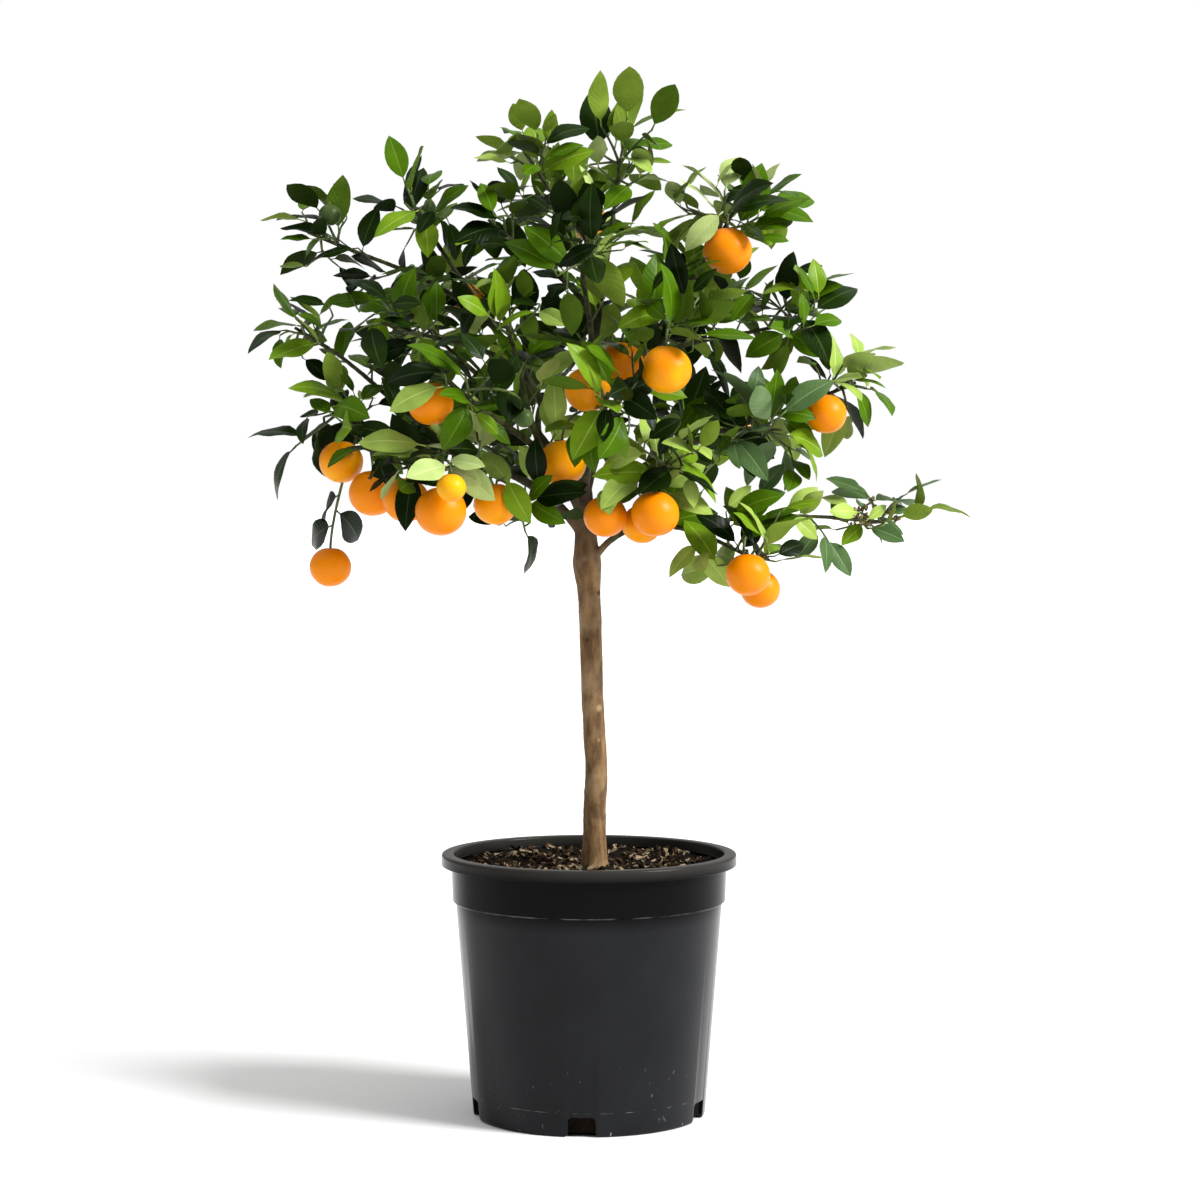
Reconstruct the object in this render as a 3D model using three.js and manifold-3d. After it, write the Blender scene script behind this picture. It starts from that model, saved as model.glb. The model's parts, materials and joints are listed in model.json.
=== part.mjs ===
// A calamondin orange tree, trained as a small standard and standing in a black nursery pot.
// Millimetres, +Z up. The origin is the middle of the pot's flat underside.
//
// The trunk forks into boughs. Each bough is one tapering limb that ends where it enters its own
// mass of foliage, and each mass grows by one seeded rule from a stem that meets its bough's tip.

import * as THREE from "three";
import { mergeVertices } from "three/addons/utils/BufferGeometryUtils.js";
import Module from "manifold-3d";

const wasm = await Module();
wasm.setup();
const { Manifold } = wasm;

// ---------- driving dimensions ----------

const GAP = 0.3; // between one solid and the next

const POT_HEIGHT = 200;
const RIM_RADIUS = 112.5;
const RIM_HEIGHT = 9;
const RIM_ROUND = 2.4;
const WALL = 1.8;
const WALL_TOP_RADIUS = 104.8; // outside, under the rim
const STEP_Z = 164; // the small step that pots stack on
const STEP_UPPER_RADIUS = 103.9;
const STEP_LOWER_RADIUS = 101.4;
const STEP_EASE = 1.5; // how far below the step the wall starts to widen
const BASE_RADIUS = 88.4;
const BASE_ROUND = 2.5;
const FLOOR = 3;
const POT_SIDES = 36;

const DRAIN_COUNT = 5; // notches round the foot of the wall
const DRAIN_WIDTH = 20.5;
const DRAIN_HEIGHT = 15;
const DRAIN_FLARE = 3;
const DRAIN_INSIDE_RADIUS = 77;
const DRAIN_OUTSIDE_RADIUS = 98.4; // past the outside of the wall
const DRAIN_TURN_DEG = -3.5; // of the first notch, from straight ahead (-Y)

const SOIL_TOP = 188.7;
const SOIL_FLAT_RADIUS = 17; // the level place that the trunk stands on
const SOIL_RELIEF = 2.2;
const SOIL_RINGS = [72, 44]; // radii at which the top is shaped
const SOIL_SIDES = 20;
const SOIL_EASE = 20; // how wide a ring leads from the level place to the full relief
const SOIL_WAVE = { x: 0.11, y: 0.13 }; // radians a millimetre, of the broad lumps
const SOIL_CROSS_WAVE = { x: 0.05, y: 0.19 }; // and of the ones that run across them

const TRUNK_FOOT_Z = SOIL_TOP + GAP;
const TRUNK_LINE = [
  // the trunk's middle line, from the soil to the fork
  [4.2, 0, TRUNK_FOOT_Z],
  [4.3, 0, 232],
  [5.6, 0, 262],
  [3.0, -0.5, 312],
  [0.8, 0.5, 380],
  [-1.3, 0, 420],
  [-4.5, 1, 474],
];
const TRUNK_RADIUS = 8.6;
const TRUNK_TOP_RADIUS = 7.2;
const ROOT_FLARE = 1.9; // added at the foot, gone FLARE_HEIGHT higher
const FLARE_HEIGHT = 22;
const COLLAR_Z = 420; // the swelling under the lowest bough
const COLLAR_SWELL = 2.0;
const COLLAR_SPREAD = 13;
const TAPER_FROM_Z = 425; // from here to the fork the trunk draws in
const TRUNK_SIDES = 9;
const TRUNK_RINGS = 12;

const BOUGH_RADIUS = 4.2; // of a bough that leaves the trunk
const SIDE_BOUGH_RADIUS = 3.0; // of a bough that leaves another
const BOUGH_TIP_RADIUS = 1.7;
const BOUGH_ARCH = 0.04; // how far it arches up, as a share of its length
const BOUGH_ENTRY = 0.5; // where it ends, as a share of the way out from its mass's middle
const BOUGH_ALONG_PARENT = 0.2; // how long it keeps its parent's way, as a share of its length
const BOUGH_INTO_MASS = 0.3; // how long it heads straight for its mass's middle
const FORK_SHARE = 0.85; // a bough's radius over its parent's, at most
const BOUGH_RING_STEP = 75; // between one ring of its faces and the next
const FEWEST_RINGS = 3;
const BOUGH_SIDES = 5;
const SIDE_BOUGH_SIDES = 4;

const CROWN_HEART = [0, 0, 560]; // foliage grows away from here
const STEM_RADIUS = 2.0;
const STEM_TIP_RADIUS = 1.7;
const STEM_REACH = 1.5; // its length, as a share of the way from its foot to the mass's middle
const STEM_SIDES = 4;
const TWIG_SIDES = 3; // of shoots and fruit stalks
const SHOOT_RADIUS = 1.15;
const SHOOT_TIP_RADIUS = 0.9;
const SHOOT_REACH = 0.66; // of the mass's radius, so that the end leaves fill the rest
const SHOOT_OUT = 0.3; // how strongly shoots turn away from the crown's heart
const SHOOT_RISE = 0.3; // and upwards
const SHOOT_STRAY = 0.5; // how far each strays by chance
const SHORTEST_SHOOT = 14;
const SHOOTS_APART = 16; // between the ends of two shoots
const SHOOT_TRIES = 4;
const SHORTEST_DRAWN = 0.4; // how far a shoot may be drawn back to find room, as a share
const DRAWN_STEP = 0.12;
const SHOOT_PROBES = [0.25, 0.4, 0.55, 0.7, 0.85, 1]; // where it is tried for room
const TURN_DEG = 137.5; // from one shoot or leaf to the next
const SEED_TURN = 1.7; // how far each step of the seed turns the whole mass, in radians
const SHOOT_RETRY_TURN = 0.6; // and each new try its shoot
const SHOOT_MARGIN = 2; // of a shoot from its mass's borders
const SHOOTS_FROM = 0.2; // where on the stem the lowest shoot leaves, as a share
const SHOOTS_OVER = 0.76; // the share of the stem that shoots leave over
const SHOOT_SKIP = 3; // neighbours in direction leave the stem this many places apart
const REACH_FROM = 0.9; // where on the stem the furthest shoots leave

const LEAF_LENGTH = 48;
const LEAF_WIDTH = 23;
const LEAF_BELLY = 0.47; // where a leaf is widest, as a share of its length
const LEAF_DROOP = 0.05; // how far its tip bends down, as a share of its length
const LEAF_THICKNESS = 1.4;
const LEAF_KEEL = 0.2; // where a leaf is thickest, as a share of its length
const LEAF_SINK = 0.35; // how far the leaf's root goes in past the twig's middle
const LEAF_STEP = 10.5; // between one leaf's place on a shoot and the next
const LEAF_TILT = 2.6; // how far blades turn about their length, from level
const LEAF_RISE = 0.22; // how strongly leaves turn upwards
const LEAF_LEAN = 0.5; // how far blades lean along their shoot
const LEAF_LEAST = 0.84; // the smallest leaf over the common one
const LEAF_VARIES = 0.3; // and how much larger the largest is
const END_SPREAD = { from: 8, over: 24 }; // degrees between a shoot and its last leaf
const SIDE_SPREAD = { from: 40, over: 26 }; // and its other leaves
const LEAF_STRAY = 2.4; // how far a leaf strays round its shoot by chance, in radians
const LEAF_RETRY_TURN = 1.7; // how far round its shoot it is tried again
const LAST_LEAF = 0.97; // where on its shoot the last leaf stands
const LEAF_MARGIN = 1; // of a leaf from its mass's borders
const NEARLY_UPRIGHT = 0.9; // the rise of a shoot that is taken as upright
const LEAF_TRIES = 12;
const LEAF_TRIES_PER_SIZE = 4;
const LEAF_SHRINK = 0.14; // from one size to the next
const LEAF_SPILL = 1.3; // how far leaves may stand out of their mass's rounded outline
const BARE_FOOT = 8; // of a shoot, below its lowest leaf
const CLEARANCE = 0.6; // of a leaf or twig from limbs and fruit
const BALL_STEP = 2.5; // between the balls that stand for a limb
const FOOT_BALLS = 2; // the balls at a limb's foot that its own leaves may touch
const RIB_BALLS = [0.12, 0.25, 0.4, 0.55, 0.7, 0.85, 1]; // that stand for a leaf's midrib
const ROOT_EDGE_BALLS = [0.5, 1]; // and its edges, from the root to the widest points
const TIP_EDGE_BALLS = [0.35, 0.7]; // and from the tip
const NEIGHBOURS = 130; // how far from a mass's middle limbs and fruit can be in its way

const FRUIT_SQUASH = 0.95; // height over width
const FRUIT_SWELL = 1.03; // makes up for its flat faces
const SMALL_FRUIT = 22; // up to this width a fruit has fewer faces
const FRUIT_SIDES = 7;
const SMALL_FRUIT_SIDES = 5;
const STALK_RADIUS = 1.4;
const STALK_SINK = 3; // into the fruit's top
const STALK_RISE = 0.12; // how far it rises first, as a share of its span
const STALK_HANG = 22; // how far above the fruit it turns down, at most
const STALK_BEND = 0.35; // where it bends, as a share of its span
const STALK_RINGS = 3;
const LOW_FRUIT = 20; // a fruit this far below its mass's middle hangs from lower on the stem
const LOW_STALK_FROM = 0.3; // where on the stem a low fruit's stalk leaves
const STALK_FROM = 0.6; // and any other's

// ---------- the crown: masses of foliage, each on the tip of its own bough ----------
// from: the limb that its bough leaves, and how far along that limb
// arch: how far its bough arches up, where that isn't BOUGH_ARCH
// thick: its bough's radius, where that isn't the common one
// centre, radius: the space that the mass fills
// seed, shoots: the start of its dice and the number of its shoots
// reach: ends of more shoots, which may stand out of that space
// fruit: [x, y, z, width] of each fruit

const MASSES = [
  {
    name: "top",
    from: ["trunk", 0.985],
    centre: [22, 14, 716],
    radius: [42, 44, 44],
    seed: 79,
    shoots: 5,
    reach: [[9, 10, 752], [29, 4, 757], [48, -2, 748], [0, 14, 738]],
    fruit: [],
  },
  {
    name: "upper_left",
    from: ["trunk", 0.95],
    centre: [-124, -15, 680],
    radius: [46, 44, 50],
    seed: 69,
    shoots: 5,
    reach: [[-138, -20, 706]],
    fruit: [],
  },
  {
    name: "left_low",
    from: ["trunk", 0.89],
    centre: [-180, -38, 532],
    radius: [44, 42, 48],
    seed: 49,
    shoots: 5,
    reach: [[-220, -34, 508]],
    fruit: [
      [-184, -46, 497, 33],
      [-159, -66, 474, 36],
      [-192, -50, 419, 31],
    ],
  },
  {
    name: "left_front",
    from: ["trunk", 0.925],
    centre: [-92, -132, 550],
    radius: [48, 40, 40],
    seed: 12,
    shoots: 6,
    reach: [],
    fruit: [
      [-113, -128, 538, 33],
      [-46, -152, 527, 14],
    ],
  },
  {
    name: "centre_front",
    from: ["trunk", 0.97],
    centre: [12, -124, 543],
    radius: [46, 42, 42],
    seed: 67,
    shoots: 6,
    reach: [],
    fruit: [
      [-1, -98, 549, 34],
      [-20, -62, 496, 36],
    ],
  },
  {
    name: "right_low",
    from: ["trunk", 0.805],
    arch: 0.2,
    thick: 3,
    centre: [118, -54, 442],
    radius: [46, 40, 44],
    seed: 50,
    shoots: 5,
    reach: [[100, -46, 420], [150, -50, 476]],
    fruit: [
      [117, -70, 414, 33],
      [128, -37, 402, 30],
    ],
  },
  {
    name: "upper_right",
    from: ["trunk", 0.975],
    centre: [104, -10, 680],
    radius: [56, 48, 50],
    seed: 58,
    shoots: 4,
    reach: [[118, 4, 700], [138, 0, 694]],
    fruit: [[102, -62, 652, 36]],
  },
  {
    name: "right_far",
    from: ["trunk", 0.91],
    centre: [192, 10, 556],
    radius: [44, 42, 46],
    seed: 40,
    shoots: 6,
    reach: [],
    fruit: [[177, -34, 533, 31]],
  },
  {
    name: "back_left",
    from: ["trunk", 0.94],
    centre: [-128, 90, 608],
    radius: [54, 52, 52],
    seed: 50,
    shoots: 4,
    reach: [],
    fruit: [[-91, 124, 625, 34]],
  },
  {
    name: "top_left",
    from: ["top", 0.66],
    centre: [-44, -14, 726],
    radius: [42, 44, 42],
    seed: 89,
    shoots: 6,
    reach: [],
    fruit: [],
  },
  {
    name: "upper_mid",
    from: ["top", 0.5],
    centre: [-66, -38, 672],
    radius: [44, 42, 42],
    seed: 74,
    shoots: 5,
    reach: [],
    fruit: [],
  },
  {
    name: "centre_high",
    from: ["top", 0.36],
    centre: [-5, -88, 645],
    radius: [50, 44, 50],
    seed: 48,
    shoots: 5,
    reach: [],
    fruit: [[-21, -75, 690, 17]],
  },
  {
    name: "back_top",
    from: ["top", 0.56],
    centre: [-22, 86, 692],
    radius: [52, 46, 46],
    seed: 36,
    shoots: 4,
    reach: [],
    fruit: [[-2, 118, 690, 33]],
  },
  {
    name: "left_high",
    from: ["upper_left", 0.6],
    centre: [-203, 10, 670],
    radius: [42, 40, 42],
    seed: 1,
    shoots: 6,
    reach: [],
    fruit: [[-195, -10, 683, 17]],
  },
  {
    name: "left_inner",
    from: ["upper_left", 0.42],
    centre: [-144, -46, 600],
    radius: [44, 42, 48],
    seed: 9,
    shoots: 5,
    reach: [],
    fruit: [],
  },
  {
    name: "left_mid",
    from: ["left_low", 0.6],
    centre: [-214, 4, 596],
    radius: [40, 40, 36],
    seed: 79,
    shoots: 6,
    reach: [],
    fruit: [],
  },
  {
    name: "left_front_low",
    from: ["left_low", 0.4],
    centre: [-116, -112, 492],
    radius: [50, 42, 38],
    seed: 84,
    shoots: 6,
    reach: [],
    fruit: [
      [-133, -97, 469, 34],
      [-106, -127, 461, 37],
      [-97, -160, 478, 21],
    ],
  },
  {
    name: "back_low_left",
    from: ["left_low", 0.3],
    centre: [-96, 100, 520],
    radius: [56, 50, 46],
    seed: 3,
    shoots: 4,
    reach: [],
    fruit: [[-134, 130, 512, 36]],
  },
  {
    name: "left_centre",
    from: ["left_front", 0.42],
    centre: [-62, -74, 604],
    radius: [48, 44, 44],
    seed: 60,
    shoots: 6,
    reach: [],
    fruit: [],
  },
  {
    name: "low_centre",
    from: ["left_front", 0.28],
    centre: [-48, -76, 468],
    radius: [44, 40, 36],
    seed: 22,
    shoots: 5,
    reach: [[-47, -70, 446], [-30, -98, 484]],
    fruit: [[-68, -92, 466, 32]],
  },
  {
    name: "centre_right",
    from: ["centre_front", 0.45],
    centre: [66, -92, 602],
    radius: [48, 44, 48],
    seed: 5,
    shoots: 5,
    reach: [],
    fruit: [
      [55, -136, 562, 36],
      [24, -36, 570, 34],
    ],
  },
  {
    name: "centre_low_right",
    from: ["right_low", 0.36],
    centre: [56, -84, 497],
    radius: [44, 42, 42],
    seed: 93,
    shoots: 6,
    reach: [],
    fruit: [
      [12, -88, 457, 32],
      [48, -101, 459, 35],
      [39, -64, 451, 30],
    ],
  },
  {
    name: "right_long",
    from: ["right_low", 0.6],
    centre: [212, -8, 456],
    radius: [50, 30, 30],
    seed: 45,
    shoots: 5,
    reach: [[238, -6, 472], [253, -8, 461], [204, -10, 484]],
    fruit: [],
  },
  {
    name: "right_high",
    from: ["upper_right", 0.42],
    centre: [150, -20, 604],
    radius: [50, 46, 50],
    seed: 41,
    shoots: 5,
    reach: [],
    fruit: [],
  },
  {
    name: "back_right",
    from: ["upper_right", 0.34],
    centre: [88, 88, 622],
    radius: [54, 50, 52],
    seed: 52,
    shoots: 4,
    reach: [],
    fruit: [[84, 122, 631, 35]],
  },
  {
    name: "right_mid",
    from: ["right_far", 0.55],
    centre: [134, -44, 524],
    radius: [54, 44, 46],
    seed: 79,
    shoots: 6,
    reach: [],
    fruit: [],
  },
  {
    name: "back_low_right",
    from: ["right_far", 0.36],
    centre: [84, 100, 522],
    radius: [54, 50, 46],
    seed: 21,
    shoots: 4,
    reach: [],
    fruit: [[112, 134, 527, 36]],
  },
  {
    name: "back_centre",
    from: ["back_left", 0.36],
    centre: [-6, 128, 590],
    radius: [54, 48, 52],
    seed: 34,
    shoots: 4,
    reach: [],
    fruit: [[26, 162, 570, 34]],
  },
];

// ---------- solids ----------

const UP = new THREE.Vector3(0, 0, 1);
const vec = (p) => new THREE.Vector3(...p);
const rad = (degrees) => (degrees * Math.PI) / 180;

// A closed geometry as a solid, with its faces turned outwards.
function solidOf(geometry) {
  const bare = geometry.index ? geometry.toNonIndexed() : geometry.clone();
  bare.deleteAttribute("normal");
  bare.deleteAttribute("uv");
  const merged = mergeVertices(bare, 1e-4);
  const index = merged.index.array;
  const triangles = [];
  for (let i = 0; i < index.length; i += 3) {
    const [a, b, c] = index.subarray(i, i + 3);
    if (a !== b && b !== c && c !== a) triangles.push([a, b, c]);
  }
  const make = (list) =>
    new Manifold(
      new wasm.Mesh({
        numProp: 3,
        vertProperties: new Float32Array(merged.attributes.position.array),
        triVerts: new Uint32Array(list.flat()),
      }),
    );
  const solid = make(triangles);
  return solid.volume() > 0 ? solid : make(triangles.map((t) => [t[0], t[2], t[1]]));
}

function geometryOf(solid) {
  const mesh = solid.getMesh();
  const place = new Float32Array(mesh.numVert * 3);
  for (let i = 0; i < mesh.numVert; i++) {
    const from = i * mesh.numProp;
    place.set(mesh.vertProperties.subarray(from, from + 3), i * 3);
  }
  const geometry = new THREE.BufferGeometry();
  geometry.setAttribute("position", new THREE.BufferAttribute(place, 3));
  geometry.setIndex(new THREE.BufferAttribute(mesh.triVerts, 1));
  geometry.computeVertexNormals();
  return geometry;
}

// The largest body of a solid, without the scraps that a cut leaves.
function largest(solid) {
  return solid.decompose().reduce((a, b) => (a.volume() > b.volume() ? a : b));
}

// A tapering limb: a cylinder whose rings are carried onto the limb's curve.
function limbSolid({ curve, radiusAt, sides, rings }, extra = 0) {
  const rod = new THREE.CylinderGeometry(1, 1, 1, sides, rings);
  const tangents = Array.from({ length: rings + 1 }, (_, i) => curve.getTangent(i / rings));
  const across = new THREE.Vector3(1, 0, 0).cross(tangents[0]).normalize();
  const frames = tangents.map((tangent) => {
    across.addScaledVector(tangent, -across.dot(tangent)).normalize();
    return [across.clone(), tangent.clone().cross(across)];
  });
  const place = rod.attributes.position;
  for (let i = 0; i < place.count; i++) {
    const ring = Math.round((place.getY(i) + 0.5) * rings);
    const r = radiusAt(ring / rings) + extra;
    const point = curve
      .getPoint(ring / rings)
      .addScaledVector(frames[ring][0], place.getX(i) * r)
      .addScaledVector(frames[ring][1], place.getZ(i) * r);
    place.setXYZ(i, point.x, point.y, point.z);
  }
  return solidOf(rod);
}

// ---------- pot and soil ----------

const wallInside = (z) =>
  THREE.MathUtils.mapLinear(z, 0, STEP_Z, BASE_RADIUS, STEP_LOWER_RADIUS) - WALL;

function lathe(profile, sides) {
  const points = profile.map(([r, z]) => new THREE.Vector2(r, z));
  return new THREE.LatheGeometry(points, sides).rotateX(Math.PI / 2);
}

function potSolid() {
  const lip = POT_HEIGHT - RIM_HEIGHT;
  const shell = solidOf(
    lathe(
      [
        [0, 0],
        [BASE_RADIUS - BASE_ROUND, 0],
        [BASE_RADIUS, BASE_ROUND],
        [STEP_LOWER_RADIUS, STEP_Z - STEP_EASE],
        [STEP_UPPER_RADIUS, STEP_Z],
        [WALL_TOP_RADIUS, lip],
        [RIM_RADIUS, lip],
        [RIM_RADIUS, POT_HEIGHT - RIM_ROUND],
        [RIM_RADIUS - RIM_ROUND, POT_HEIGHT],
        [WALL_TOP_RADIUS - WALL, POT_HEIGHT],
        [wallInside(STEP_Z), STEP_Z],
        [wallInside(FLOOR), FLOOR],
        [0, FLOOR],
      ],
      POT_SIDES,
    ),
  );
  const half = DRAIN_WIDTH / 2;
  const outline = new THREE.Shape([
    new THREE.Vector2(-half - DRAIN_FLARE, -1),
    new THREE.Vector2(half + DRAIN_FLARE, -1),
    new THREE.Vector2(half, DRAIN_FLARE),
    new THREE.Vector2(half, DRAIN_HEIGHT),
    new THREE.Vector2(-half, DRAIN_HEIGHT),
    new THREE.Vector2(-half, DRAIN_FLARE),
  ]);
  const notch = new THREE.ExtrudeGeometry(outline, {
    depth: DRAIN_OUTSIDE_RADIUS - DRAIN_INSIDE_RADIUS,
    bevelEnabled: false,
  })
    .rotateX(Math.PI / 2)
    .translate(0, -DRAIN_INSIDE_RADIUS, 0);
  let pot = shell;
  for (let i = 0; i < DRAIN_COUNT; i++) {
    const turn = rad(DRAIN_TURN_DEG) + (i * 2 * Math.PI) / DRAIN_COUNT;
    pot = pot.subtract(solidOf(notch.clone().rotateZ(turn)));
  }
  return largest(pot);
}

function soilSolid() {
  const edge = (z) => wallInside(z) - GAP * 2;
  const geometry = lathe(
    [
      [0, FLOOR + GAP],
      [edge(FLOOR), FLOOR + GAP],
      [edge(STEP_Z), STEP_Z],
      [edge(STEP_Z), SOIL_TOP],
      ...SOIL_RINGS.map((radius) => [radius, SOIL_TOP]),
      [SOIL_FLAT_RADIUS, SOIL_TOP],
      [0, SOIL_TOP],
    ],
    SOIL_SIDES,
  );
  const place = geometry.attributes.position;
  for (let i = 0; i < place.count; i++) {
    const [x, y, z] = [place.getX(i), place.getY(i), place.getZ(i)];
    const far = Math.hypot(x, y) - SOIL_FLAT_RADIUS;
    if (z < SOIL_TOP - 1 || far < 1) continue;
    const broad = Math.sin(x * SOIL_WAVE.x) * Math.cos(y * SOIL_WAVE.y);
    const lumps = broad + Math.sin(x * SOIL_CROSS_WAVE.x - y * SOIL_CROSS_WAVE.y);
    place.setZ(i, SOIL_TOP + SOIL_RELIEF * lumps * Math.min(1, far / SOIL_EASE));
  }
  return solidOf(geometry);
}

// ---------- trunk and boughs ----------

function trunkRadius(z) {
  const flare = ROOT_FLARE * Math.exp(-(z - TRUNK_FOOT_Z) / (FLARE_HEIGHT / 2));
  const collar = COLLAR_SWELL * Math.exp(-(((z - COLLAR_Z) / COLLAR_SPREAD) ** 2));
  const drawn = THREE.MathUtils.smoothstep(z, TAPER_FROM_Z, TRUNK_LINE.at(-1)[2]);
  return THREE.MathUtils.lerp(TRUNK_RADIUS, TRUNK_TOP_RADIUS, drawn) + flare + collar;
}

const limbs = new Map(); // every limb so far: its curve, its radius along the curve, its solid

function addTrunk() {
  const curve = new THREE.CatmullRomCurve3(TRUNK_LINE.map(vec), false, "catmullrom", 0.5);
  const radiusAt = (t) => trunkRadius(curve.getPoint(t).z);
  const trunk = { curve, radiusAt, sides: TRUNK_SIDES, rings: TRUNK_RINGS };
  trunk.solid = limbSolid(trunk).trimByPlane([0, 0, 1], TRUNK_FOOT_Z);
  limbs.set("trunk", trunk);
}

// A bough leaves its parent a little way along it, arches over and ends inside its mass.
function addBough(mass) {
  const [parentName, share] = mass.from;
  const parent = limbs.get(parentName);
  const start = parent.curve.getPoint(share);
  const along = parent.curve.getTangent(share);
  const centre = vec(mass.centre);
  const inwards = start.clone().sub(centre).normalize();
  const reach = vec(mass.radius).multiply(inwards).length();
  const end = centre.clone().addScaledVector(inwards, reach * BOUGH_ENTRY);
  const span = end.clone().sub(start);
  const length = span.length();
  const lift = length * (mass.arch ?? BOUGH_ARCH);
  const leaving = start
    .clone()
    .addScaledVector(along, length * BOUGH_ALONG_PARENT)
    .addScaledVector(span, BOUGH_ALONG_PARENT)
    .addScaledVector(UP, lift);
  const arriving = end
    .clone()
    .addScaledVector(inwards, length * BOUGH_INTO_MASS)
    .addScaledVector(UP, lift);
  const curve = new THREE.CubicBezierCurve3(start, leaving, arriving, end);
  const fromTrunk = parentName === "trunk";
  const common = mass.thick ?? (fromTrunk ? BOUGH_RADIUS : SIDE_BOUGH_RADIUS);
  const thick = Math.min(common, parent.radiusAt(share) * FORK_SHARE);
  const bough = {
    curve,
    radiusAt: (t) => THREE.MathUtils.lerp(thick, BOUGH_TIP_RADIUS, t),
    sides: fromTrunk ? BOUGH_SIDES : SIDE_BOUGH_SIDES,
    rings: Math.max(FEWEST_RINGS, Math.round(length / BOUGH_RING_STEP)),
  };
  bough.solid = [...limbs.values()].reduce(
    (solid, other) => solid.subtract(limbSolid(other, GAP)),
    limbSolid(bough),
  );
  bough.solid = largest(bough.solid);
  limbs.set(mass.name, bough);
}

// ---------- the rule that a mass of foliage grows by ----------

// A seeded dice: the same seeds give the same draws, each from 0 to 1.
function dice(...seeds) {
  let state = seeds.reduce((sum, seed) => (Math.imul(sum, 31) + seed * 7919 + 17) >>> 0, 1);
  const roll = () => {
    state = (Math.imul(state, 1664525) + 1013904223) >>> 0;
    return state / 4294967296;
  };
  for (let i = 0; i < 5; i++) roll();
  return roll;
}

const meanRadius = (mass) => (mass.radius[0] + mass.radius[1] + mass.radius[2]) / 3;

// How far a point lies inside a mass's share of the crown. The crown is shared out by flat
// borders, each nearer the smaller of the two masses that it parts.
function roomIn(mass, p) {
  const own = p.distanceToSquared(vec(mass.centre)) - meanRadius(mass) ** 2;
  let room = Infinity;
  for (const other of MASSES) {
    if (other === mass) continue;
    const theirs = p.distanceToSquared(vec(other.centre)) - meanRadius(other) ** 2;
    const apart = vec(mass.centre).distanceTo(vec(other.centre));
    room = Math.min(room, (theirs - own) / (2 * apart));
  }
  return room;
}

// Whether a point is in a mass's own space: in its share of the crown, and no further out than
// `spill` times its rounded outline.
function inSpace(mass, p, margin, spill) {
  const local = p.clone().sub(vec(mass.centre)).divide(vec(mass.radius));
  return local.length() < spill && roomIn(mass, p) > margin;
}

// Points along a limb as small balls, which leaves and twigs keep clear of.
function ballsAlong(limb, owner) {
  const span = limb.curve.getPoint(0).distanceTo(limb.curve.getPoint(1));
  const count = Math.ceil(span / BALL_STEP);
  return Array.from({ length: count + 1 }, (_, i) => ({
    at: limb.curve.getPoint(i / count),
    radius: limb.radiusAt(i / count),
    owner,
  }));
}

// The stem carries straight on from the bough's tip, through the mass's middle.
function stemOf(mass) {
  const bough = limbs.get(mass.name);
  const heading = bough.curve.getTangent(1);
  const foot = bough.curve.getPoint(1).addScaledVector(heading, GAP);
  const length = foot.distanceTo(vec(mass.centre)) * STEM_REACH;
  return {
    curve: new THREE.LineCurve3(foot, foot.clone().addScaledVector(heading, length)),
    radiusAt: (t) => THREE.MathUtils.lerp(STEM_RADIUS, STEM_TIP_RADIUS, t),
    sides: STEM_SIDES,
    rings: 1,
  };
}

// The shoot that a fruit hangs from: out from the stem, over, and down into the fruit's top.
function stalkOf(mass, fruit, stem) {
  const [x, y, z, width] = fruit;
  const top = new THREE.Vector3(x, y, z + (width / 2) * FRUIT_SQUASH);
  const low = top.z < mass.centre[2] - LOW_FRUIT;
  const foot = stem.curve.getPoint(low ? LOW_STALK_FROM : STALK_FROM);
  const span = foot.distanceTo(top);
  const curve = new THREE.CubicBezierCurve3(
    foot,
    foot.clone().lerp(top, STALK_BEND).addScaledVector(UP, span * STALK_RISE),
    top.clone().addScaledVector(UP, Math.min(span * STALK_BEND, STALK_HANG)),
    top.clone().addScaledVector(UP, -STALK_SINK),
  );
  const shape = { radiusAt: () => STALK_RADIUS, sides: TWIG_SIDES, rings: STALK_RINGS };
  return { curve, ...shape, fruit, length: span };
}

// The way that a shoot sets out: spread evenly over a ball, then bent outwards and upwards.
function wayOf(mass, k, attempt) {
  const roll = dice(mass.seed, k, attempt, 1);
  const height = 1 - (2 * (k + 0.5)) / mass.shoots;
  const ring = Math.sqrt(1 - height * height);
  const angle = mass.seed * SEED_TURN + rad(TURN_DEG) * k + attempt * SHOOT_RETRY_TURN;
  const stray = () => (roll() - 0.5) * SHOOT_STRAY;
  const way = new THREE.Vector3(
    ring * Math.cos(angle) + stray(),
    ring * Math.sin(angle) + stray(),
    height + stray(),
  );
  const outwards = vec(mass.centre).sub(vec(CROWN_HEART)).normalize();
  return way.addScaledVector(outwards, SHOOT_OUT).addScaledVector(UP, SHOOT_RISE).normalize();
}

const clearOf = (p, radius, balls) =>
  balls.every((ball) => p.distanceTo(ball.at) > radius + ball.radius + CLEARANCE);

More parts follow.
